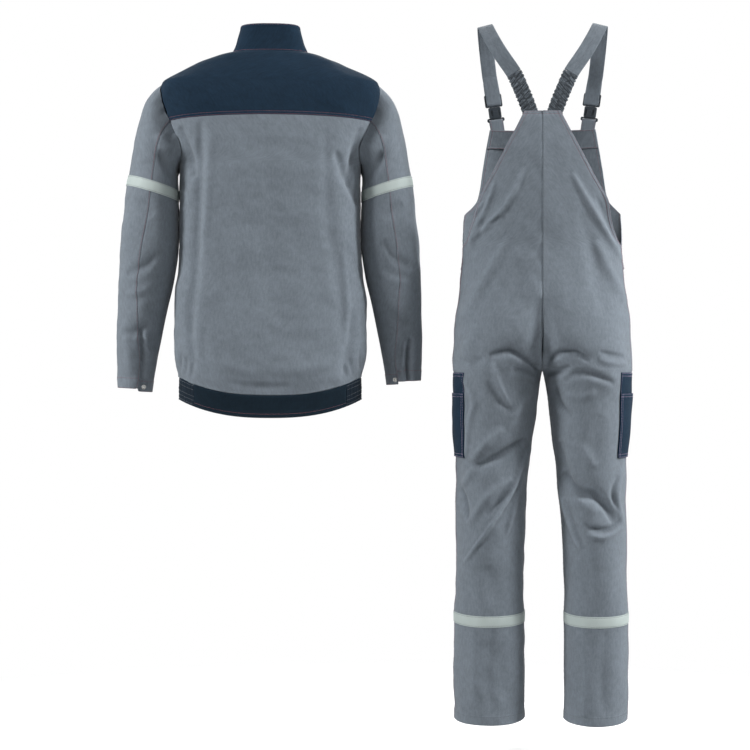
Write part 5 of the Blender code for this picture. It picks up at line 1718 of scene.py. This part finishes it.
def overalls_body():
    grey, navy = MATERIALS["grey"], MATERIALS["navy"]
    hem = Edge("hem", (0.0170,), 0.0180, "tonal")
    centre = {1: Edge("lapped", (EDGE_ROW,), 0.0, "tonal"), -1: TUCKED}
    for side, sign in SIDES:
        surface = partial(legs, side=sign)
        leg_panel = partial(panel, garment=OVERALLS, surface=surface, steps=LEG_STEPS,
                            relief=leg_relief(sign), slot="cloth_grey", material=grey,
                            mirror=sign < 0)
        leg_panel("leg_back_" + side, across=partial(across_leg_back, side=sign),
                  bottom=LEG_HEM, top=BACK_TOP,
                  edges=(FELLED, centre[sign], hem, Edge("hem", FELL_ROWS)),
                  node="overalls_back_" + side, seed=111 + sign)
        leg_panel("leg_front_" + side, across=partial(across_leg_front, side=sign),
                  bottom=LEG_HEM, top=BIB_SEAM - SEAM, edges=(TUCKED, TUCKED_LOW, hem, TUCKED),
                  node="overalls_front_" + side, seed=115 + sign)
        tape_ring("knee_tape_" + side, OVERALLS, surface, LEG_STEPS, leg_relief(sign),
                  LEG_TAPE, sign < 0, "leg_tape_" + side)
        pocket(side, sign, partial(leg_panel, material=navy, slot="cloth_navy"))
    side_hem = Edge("hem", (0.0070,), 0.0082)
    bib = partial(panel, garment=OVERALLS, surface=bib_surface, steps=BIB_STEPS,
                  relief=flat_bib, across=fixed(-1.0, 1.0), top=BIB_TOP, slot="cloth_grey",
                  material=grey, inside=True)
    bib("bib", bottom=BIB_SEAM + SEAM, edges=(side_hem, side_hem, FELLED, HEM),
        node="bib_front", seed=121)
    bib("bib_band", bottom=BIB_TOP - BIB_BAND_DEPTH, lift=-CLOTH - GAP,
        edges=(side_hem, side_hem, HEM, HEM), node="bib_top_band", seed=125)


def pocket_fullness(points, run, up, widths):
    """The bag stands a little full between its sewn edges, most at its open mouth."""
    span = np.clip(np.minimum(run, widths - run) / 0.045, 0, 1)
    rise = np.clip(up / 0.06, 0, 1)
    return POCKET_FULLNESS * smooth_step(span) * smooth_step(rise)


def pocket(side, sign, navy_panel):
    """A patch pocket: its backing, sewn to the leg, and the bag over it, open at its top."""
    part = partial(navy_panel, across=fixed(POCKET_BACK, POCKET_FRONT), bottom=POCKET_BOTTOM)
    sewn = Edge("hem", (EDGE_ROW,), 0.0, "dusty")
    double = Edge("hem", FELL_ROWS, 0.0, "dusty")
    part("pocket_back_" + side, top=POCKET_TOP, edges=(sewn, sewn, sewn, double),
         lift=POCKET_LIFT + CLOTH, node="pocket_backing_" + side, seed=131 + sign)
    part("pocket_front_" + side, top=POCKET_MOUTH, edges=(double,) * 4,
         lift=POCKET_LIFT + 2 * CLOTH + GAP, node="pocket_bag_" + side,
         extra=pocket_fullness, seed=135 + sign)


# --- Braces and buckles ---------------------------------------------------------------

BUCKLE_CENTRE = np.array([0.1041, 0.0790, -0.0989])
BUCKLE_OUT = unit(np.array([0.309, 0.951, 0.0]))
BUCKLE_UP = square_to(np.array([0.154, 0.0, 0.988]), BUCKLE_OUT)
BUCKLE_ACROSS = np.cross(BUCKLE_UP, BUCKLE_OUT)
FRAME_HALF = 0.0192              # half widths of the adjuster frame and the housing
HOUSING_HALF = 0.0130
FRAME_WALL = 0.0012              # half thicknesses
HOUSING_WALL = 0.0036
RAIL = 0.0028
FRAME_TOP = 0.0200               # heights along the buckle
STRAP_BAR = 0.0013
HOUSING_TOP = -0.0078
HOUSING_BOTTOM = -0.0310
LOOP_SLOT = -0.0360
LOOP_BOTTOM = -0.0388
TAB_WIDTH = 0.030
TAB_ROW = 0.0130                 # the tab's stitch rows, from its centre line
TAB_FOOT = -0.0605               # where the tab meets the bib's top, its two layers together
TAB_FOOT_DEPTHS = (-0.0010, -0.0028)
BODY_AXIS_SHARE = 0.8            # how far out from the centre line the straps' hints start
BODY_AXIS_LEVEL = -0.04
TURN_STEPS = 12
ROUTE_STEPS = 8
STRAP_SPACING = 0.0022           # between a ribbon's rings of points
RUCHED_SPACING = 0.0010
TAB_SPACING = 0.0012


def buckle_point(across, up, out):
    return BUCKLE_CENTRE + BUCKLE_ACROSS * across + BUCKLE_UP * up + BUCKLE_OUT * out


def turned_round(bar, radius, to_angle):
    """Points half round a line across the buckle, starting outward of it."""
    angle = np.linspace(0.0, to_angle, TURN_STEPS + 1)[:, None]
    out = BUCKLE_UP * np.sin(angle) + BUCKLE_OUT * np.cos(angle)
    return buckle_point(0.0, bar, 0.0) + out * radius, out


def body_inward(point):
    """The inner way of a strap: toward a line inside the shoulders, level below that."""
    return np.stack([(BODY_AXIS_SHARE - 1) * point[:, 0], -point[:, 1],
                     np.minimum(BODY_AXIS_LEVEL - point[:, 2], 0.0)], axis=-1)


def even_path(points, out, spacing):
    """A path and its outward ways, put at even steps."""
    run = run_along(points, 0)
    count = max(int(round(run[-1] / spacing)), 2) + 1
    place = np.linspace(0.0, run[-1], count)
    return at_places(place, run, points), at_places(place, run, out), place


def ribbon(name, node, centres, out, width, thickness, side, material, spacing, rows,
           relief=None, thread="tonal", columns=17, faces=(1,), flare=None):
    """A flat strap along a path, rounded at its edges, with stitch rows along it.

    relief(run, across) gives the height of its face, and flare(run) by what share its edges
    stand out. rows are the stitch rows' distances from the centre line, on the outward face
    (1), the inward face (-1) or both.
    """
    centres, out, run = even_path(centres, out, spacing)
    along = unit(np.gradient(centres, axis=0))
    out = square_to(out, along)
    across = np.cross(along, out)
    share = np.sin(np.linspace(-np.pi / 2, np.pi / 2, columns))
    place = np.unique(np.concatenate([share * width / 2, np.array(rows, float)]))
    edge = 1 - np.abs(place) / (width / 2)
    half = thickness / 2 * (0.45 + 0.55 * smooth_step(edge / 0.12))[None, :]
    height = np.zeros((len(run), len(place)))
    if relief is not None:
        height = relief(run[:, None], place[None, :])
    for row in rows:
        half = half - STITCH_DIP * bell(place - row, STITCH_GROOVE)[None, :]
    spread = 1.0 + (0.0 if flare is None else flare(run)[:, None, None])
    middle = centres[:, None] + across[:, None] * place[None, :, None] * spread
    way = out[:, None]
    outer = middle + way * (half + height)[..., None]
    inner = middle - way * (half - height * 0.6)[..., None]
    for row in rows:
        line = int(np.argmin(np.abs(place - row)))
        for face in faces:
            points = (outer if face > 0 else inner)[:, line]
            THREADS.setdefault((OVERALLS, thread), []).append((points, face * out, side < 0))
    uv = np.stack([np.broadcast_to(place[None, :], height.shape),
                   np.broadcast_to(run[:, None], height.shape)], axis=-1)
    wear = np.broadcast_to(bell(edge, 0.08)[None, :], height.shape)
    # the straps' waves and the ruched gathers get the fold mark: painted highlight on crests and
    # painted shade in troughs
    marks = np.stack([wear, crests(height, np.broadcast_to(place, height.shape), run)], axis=-1)
    piece = wall_mesh(name, OVERALLS, side < 0, outer, inner, "cloth_grey", material, node, uv,
                      marks)
    return centres


RUCHE_PITCH = 0.0105
RUCHE_HEIGHT = 0.0026
RUCHE_SEAM = 0.0022              # how deep the seam down the elastic piece's middle lies


def ruched(run, across):
    """The elastic piece's cloth, drawn up in crosswise gathers either side of its seam."""
    aside = across - 0.0016 * np.sin(run / 0.0062) - 0.0007 * np.sin(run / 0.0021)
    left = ripple(run + 0.30 * np.abs(aside), RUCHE_PITCH, 141)
    right = ripple(run + 0.003 - 0.26 * np.abs(aside), 0.9 * RUCHE_PITCH, 142)
    swap = smooth_step(0.5 + aside / 0.005)
    narrow = ripple(run - 0.5 * aside, 0.0044, 143)
    middle = bell(aside, 0.0022)
    folds = left * (1 - swap) + right * swap
    pinched = np.sign(folds) * np.abs(folds) ** 0.7
    return (RUCHE_HEIGHT * (0.8 * pinched + 0.35 * narrow) * (1 - 0.8 * middle)
            - RUCHE_SEAM * middle)


def ruched_edge(run):
    """By what share the elastic piece's edges stand out or in, with its gathers."""
    return 0.06 * ripple(run, RUCHE_PITCH, 141) + 0.04 * ripple(run, 0.0052, 144)


def soft_strap(run, across):
    """The webbing's long, low waves."""
    return 0.0003 * np.sin(run / 0.031 + 40 * across) + 0.0002 * np.sin(run / 0.012)


def brace(name, side):
    """The strap, turned up round its bar at the front, and the elastic piece at the back."""
    radius = FRAME_WALL + GAP + WEBBING / 2
    turn, turn_out = turned_round(-STRAP_BAR, radius, -np.pi)
    tail = np.array([buckle_point(0.0, STRAP_TAIL * share, radius) for share in (1.0, 0.5)])
    rise = buckle_point(0.0, FRAME_TOP + WEBBING, -radius)[None]
    route = smooth_path(STRAP_ROUTE + ELASTIC_ROUTE, ROUTE_STEPS)
    join = len(route) - ROUTE_STEPS * len(ELASTIC_ROUTE) + 3
    centres = np.vstack([tail, turn, rise, route])
    out = np.vstack([np.repeat(BUCKLE_OUT[None], 2, axis=0), turn_out, -BUCKLE_OUT[None],
                     unit(body_inward(route))])
    join += len(centres) - len(route)
    ribbon("brace_" + name, "strap_" + name, centres[:join + 1], out[:join + 1], STRAP_WIDTH,
           WEBBING, side, MATERIALS["grey"], STRAP_SPACING, (0.0,), soft_strap, faces=(-1,))
    start = centres[join] + unit(centres[join + 1] - centres[join]) * GAP
    ribbon("brace_elastic_" + name, "strap_elastic_" + name,
           np.vstack([start, centres[join + 1:]]), out[join:], STRAP_WIDTH, ELASTIC_WALL, side,
           MATERIALS["ruched"], RUCHED_SPACING, (0.0,), ruched, thread="dark", columns=25,
           faces=(1, -1), flare=ruched_edge)


def bib_tab(name, side):
    """The cloth tab on the bib's top, turned round the loop's lower bar."""
    bar = (LOOP_SLOT + LOOP_BOTTOM) / 2
    radius = math.hypot(LOOP_SLOT - bar, FRAME_WALL) + GAP + CLOTH / 2
    centres, out = turned_round(bar, radius, np.pi)
    feet = [buckle_point(0.0, TAB_FOOT, height) for height in TAB_FOOT_DEPTHS]
    centres = np.vstack([feet[0], centres, feet[1]])
    out = np.vstack([BUCKLE_OUT, out, -BUCKLE_OUT])
    ribbon("tab_" + name, "bib_tab_" + name, centres, out, TAB_WIDTH, CLOTH, side,
           MATERIALS["grey"], TAB_SPACING, (-TAB_ROW, TAB_ROW), thread="maroon")


def plate(name, side, outlines, low, high, bevel, node=None):
    """A moulded plate on the buckle: outlines (the first outside, the rest holes), rounded."""
    curve = bpy.data.curves.new(name, "CURVE")
    curve.dimensions, curve.fill_mode = "2D", "BOTH"
    curve.extrude = (high - low) / 2 - bevel
    curve.bevel_depth, curve.bevel_resolution, curve.offset = bevel, 2, -bevel
    for outline in outlines:
        spline = curve.splines.new("POLY")
        spline.points.add(len(outline) - 1)
        spline.points.foreach_set("co", np.array([(x, y, 0.0, 1.0) for x, y in outline],
                                                 np.float32).ravel())
        spline.use_cyclic_u = True
    shape = in_scene(name + "_curve", curve)
    bpy.context.view_layer.update()
    mesh = bpy.data.meshes.new_from_object(
        shape.evaluated_get(bpy.context.evaluated_depsgraph_get()))
    bpy.data.objects.remove(shape)
    bpy.data.curves.remove(curve)
    points = np.zeros(len(mesh.vertices) * 3, np.float32)
    mesh.vertices.foreach_get("co", points)
    faces = [np.array([list(face.vertices)]) for face in mesh.polygons]
    bpy.data.meshes.remove(mesh)
    across, up, out = points.reshape(-1, 3).astype(float).T[..., None]
    place = (BUCKLE_CENTRE + BUCKLE_ACROSS * across + BUCKLE_UP * up
             + BUCKLE_OUT * (out + (low + high) / 2))
    if side < 0:
        faces = [face[:, ::-1] for face in faces]
    return new_piece(name, placed(place, OVERALLS, side < 0), faces, "plastic_black",
                     MATERIALS["plastic"], node, smooth=False)


CORNER_STEPS = 5


def rounded(left, right, bottom, top, radius):
    """A rectangle's outline with rounded corners, from its lower right corner onward."""
    corners = ((right - radius, bottom + radius, -90), (right - radius, top - radius, 0),
               (left + radius, top - radius, 90), (left + radius, bottom + radius, 180))
    angles = [math.radians(90 * step / CORNER_STEPS) for step in range(CORNER_STEPS + 1)]
    return [(x + radius * math.cos(math.radians(start) + angle),
             y + radius * math.sin(math.radians(start) + angle))
            for x, y, start in corners for angle in angles]


LATCH_SLOTS = (-0.0080, 0.0080)  # the slots in the housing's faces, beside its prongs


def buckle(name, side):
    """The adjuster frame with its tongue, and the housing with the loop below it."""
    frame, wall, window = FRAME_HALF, FRAME_WALL, FRAME_HALF - RAIL
    half, deep, foot = HOUSING_HALF, HOUSING_WALL, HOUSING_BOTTOM
    plate("adjuster_" + name, side,
          [rounded(-frame, frame, HOUSING_TOP + GAP, FRAME_TOP, 0.0035),
           rounded(-window, window, STRAP_BAR, FRAME_TOP - RAIL, 0.0015),
           rounded(-window, window, -0.0042, -STRAP_BAR, 0.0010)],
          -wall, wall, 0.0005, "buckle_adjuster_" + name)
    face = [rounded(-half, half, foot, HOUSING_TOP, 0.0028)]
    face += [rounded(slot - 0.0011, slot + 0.0011, foot + 0.004, HOUSING_TOP - 0.006, 0.0010)
             for slot in LATCH_SLOTS]
    plate("housing_%s_0" % name, side, face, wall + GAP, deep, 0.0006,
          "buckle_housing_" + name)
    plate("housing_%s_1" % name, side, face, -deep, -wall - GAP, 0.0006)
    plate("housing_core_" + name, side,
          [rounded(-half + 0.0008, half - 0.0008, foot, HOUSING_TOP - 0.0006, 0.0020)],
          -wall - GAP, wall + GAP, 0.0003)
    plate("tongue_" + name, side,
          [rounded(-0.0052, 0.0052, foot + 0.0045, foot + 0.0150, 0.0016)],
          -deep - 0.0005, -deep + 0.0008, 0.0004)
    plate("loop_" + name, side,
          [rounded(-frame, frame, LOOP_BOTTOM, foot + 0.0004, 0.0032),
           rounded(-window + 0.0010, window - 0.0010, LOOP_SLOT, foot - RAIL, 0.0010)],
          -wall, wall, 0.0005)


# --- Snaps ----------------------------------------------------------------------------

SNAP_ANGLE = 121.0
SNAP_STATION = 0.643
SNAP_LIFT = 0.0012
# A snap's cap and ring: how far out from its centre, and how high.
CAP_PROFILE = [(0.0000, 0.0014), (0.0012, 0.0014), (0.0019, 0.0012), (0.0022, 0.0007),
               (0.0028, 0.0006), (0.0033, 0.0013), (0.0040, 0.0017), (0.0047, 0.0014),
               (0.0050, 0.0007), (0.0049, 0.0000), (0.0038, -0.0002), (0.0000, -0.0002)]
SNAP_SIDES = 48


def snap(name, side):
    """A ring snap: a dished cap inside a rolled rim."""
    at = np.array([SNAP_ANGLE]), np.array([SNAP_STATION])
    normal = normals(partial(sleeve, side=side), *at, *SLEEVE_STEPS)[0]
    centre = sleeve(*at, side)[0] + normal * SNAP_LIFT
    across = square_to(np.array([1.0, 0.0, 0.0]), normal)
    up = np.cross(normal, across)
    angle = np.linspace(0, 2 * np.pi, SNAP_SIDES + 1)[:-1][None, :, None]
    reach, height = (np.array(column)[:, None, None] for column in zip(*CAP_PROFILE))
    grid = (centre + (across * np.cos(angle) + up * np.sin(angle)) * np.maximum(reach, 1e-5)
            + normal * height)
    faces = quads(len(CAP_PROFILE), SNAP_SIDES, 0, side > 0, closed=True)
    new_piece("snap_" + name, placed(grid, JACKET, side < 0), [faces], "snap_metal",
              MATERIALS["metal"], "cuff_snap_" + name)


# --- Stage, lights and camera ---------------------------------------------------------

FLOOR_LEVEL = -1.475             # where the wearer's feet would stand
FLOOR_RADIUS = 6.0
FLOOR_SIDES = 96
FLOOR_FADE = 1.6                 # from here out the floor is the plain white of the backdrop
FLOOR_GLOW = 0.66                # brings the lit floor near white, and keeps its shadow


def floor():
    """A pale floor that keeps the shadow, and runs into the white backdrop."""
    angle = np.linspace(0, 2 * np.pi, FLOOR_SIDES + 1)[:-1]
    points = np.stack([FLOOR_RADIUS * np.cos(angle), FLOOR_RADIUS * np.sin(angle),
                       np.full(FLOOR_SIDES, FLOOR_LEVEL)], axis=-1)
    mesh = bpy.data.meshes.new("floor")
    mesh.from_pydata([(0.0, 0.0, FLOOR_LEVEL), *points.tolist()], [],
                     [(0, 1 + i, 1 + (i + 1) % FLOOR_SIDES) for i in range(FLOOR_SIDES)])
    in_scene("floor", mesh)
    shader = Shader("floor", 0.9)
    bare = shader.surface.outputs["BSDF"]
    shader.set(shader.surface, "Base Color", (0.50, 0.50, 0.50, 1.0))
    lit = shader.add("AddShader", {0: bare, 1: shader.plain_white("Emission", FLOOR_GLOW)})
    away = shader.add("VectorMath", {0: shader.add("NewGeometry").outputs["Position"],
                                     1: (OVERALLS_CENTRE / 2, 0.0, FLOOR_LEVEL)},
                      operation="DISTANCE")
    fade = shader.add("MapRange", {"Value": away.outputs["Value"],
                                   "From Min": FLOOR_FADE * 0.5, "From Max": FLOOR_FADE})
    shown = shader.mixed(fade.outputs[0], lit.outputs[0], shader.plain_white("Emission"))
    output = next(node for node in shader.tree.nodes if node.type == "OUTPUT_MATERIAL")
    shader.set(output, "Surface", shader.mixed(shader.seen(), bare, shown))
    mesh.materials.append(shader.material)


NEAR_LIGHT = 0.04                # the room's light from the camera's side
BACKDROP_LIGHT = 0.25            # and from the white backdrop, which wraps round the edges


def backdrop():
    """The world: soft even light, and plain white where a ray meets it directly."""
    world = bpy.data.worlds.new("studio")
    bpy.context.scene.world = world
    world.use_nodes = True
    nodes = Nodes(world.node_tree)
    way = nodes.add("SeparateXYZ", {0: nodes.add("TexCoord").outputs["Generated"]})
    strength = nodes.add("MapRange", {"Value": way.outputs["Y"], "From Min": -0.5,
                                      "From Max": 0.6, "To Min": NEAR_LIGHT,
                                      "To Max": BACKDROP_LIGHT},
                         interpolation_type="SMOOTHSTEP")
    light = nodes.plain_white("Background", strength.outputs["Result"])
    nodes.set(nodes.tree.nodes["World Output"], "Surface",
              nodes.mixed(nodes.seen(), light, nodes.plain_white("Background")))


Lamp = namedtuple("Lamp", "name place aim size power")
LAMPS = [
    Lamp("left", (-3.2, -1.3, 1.3), (0.2, 0.0, -0.60), 1.0, 150.0),
    Lamp("right", (3.9, -0.8, 1.3), (0.4, 0.0, -0.60), 1.0, 214.0),
    Lamp("front", (0.6, -3.3, 2.6), (0.3, 0.0, -0.50), 1.0, 46.0),
    Lamp("rear", (0.4, 3.4, 2.4), (0.3, 0.0, -0.60), 1.6, 105.0),
]


def lamps():
    """The round area lamps, each turned toward what it lights."""
    for lamp in LAMPS:
        data = bpy.data.lights.new(lamp.name, "AREA")
        data.shape, data.size, data.energy = "DISK", lamp.size, lamp.power
        made = in_scene(lamp.name, data)
        made.location = lamp.place
        way = np.subtract(lamp.aim, lamp.place)
        flat = math.hypot(way[0], way[1])
        made.rotation_euler = (math.atan2(flat, -way[2]), 0.0, math.atan2(-way[0], way[1]))


CAMERA_PLACE = (0.2197, -5.0, -0.678)
VIEW_WIDTH = 1.575               # what the picture is wide at the garments' centre lines
SENSOR = 36.0


def camera():
    """The photo's view: level, square to the backs of both garments."""
    data = bpy.data.cameras.new("camera")
    data.sensor_width = SENSOR
    data.lens = SENSOR * -CAMERA_PLACE[1] / VIEW_WIDTH
    made = in_scene("camera", data)
    made.location = CAMERA_PLACE
    made.rotation_euler = (math.pi / 2, 0.0, 0.0)
    bpy.context.scene.camera = made


bpy.context.scene.view_settings.view_transform = "Standard"
camera()
lamps()
backdrop()
floor()


# --- Everything in place --------------------------------------------------------------

jacket_body()
jacket_sleeves()
overalls_body()
for side_name, side_sign in SIDES:
    brace(side_name, side_sign)
    bib_tab(side_name, side_sign)
    buckle(side_name, side_sign)
    snap(side_name, side_sign)
for garment_name, worn in (("jacket", JACKET), ("overalls", OVERALLS)):
    for colour in THREAD_SLOTS:
        if (worn, colour) in THREADS:
            sew("thread_%s_%s" % (garment_name, colour), worn, colour)
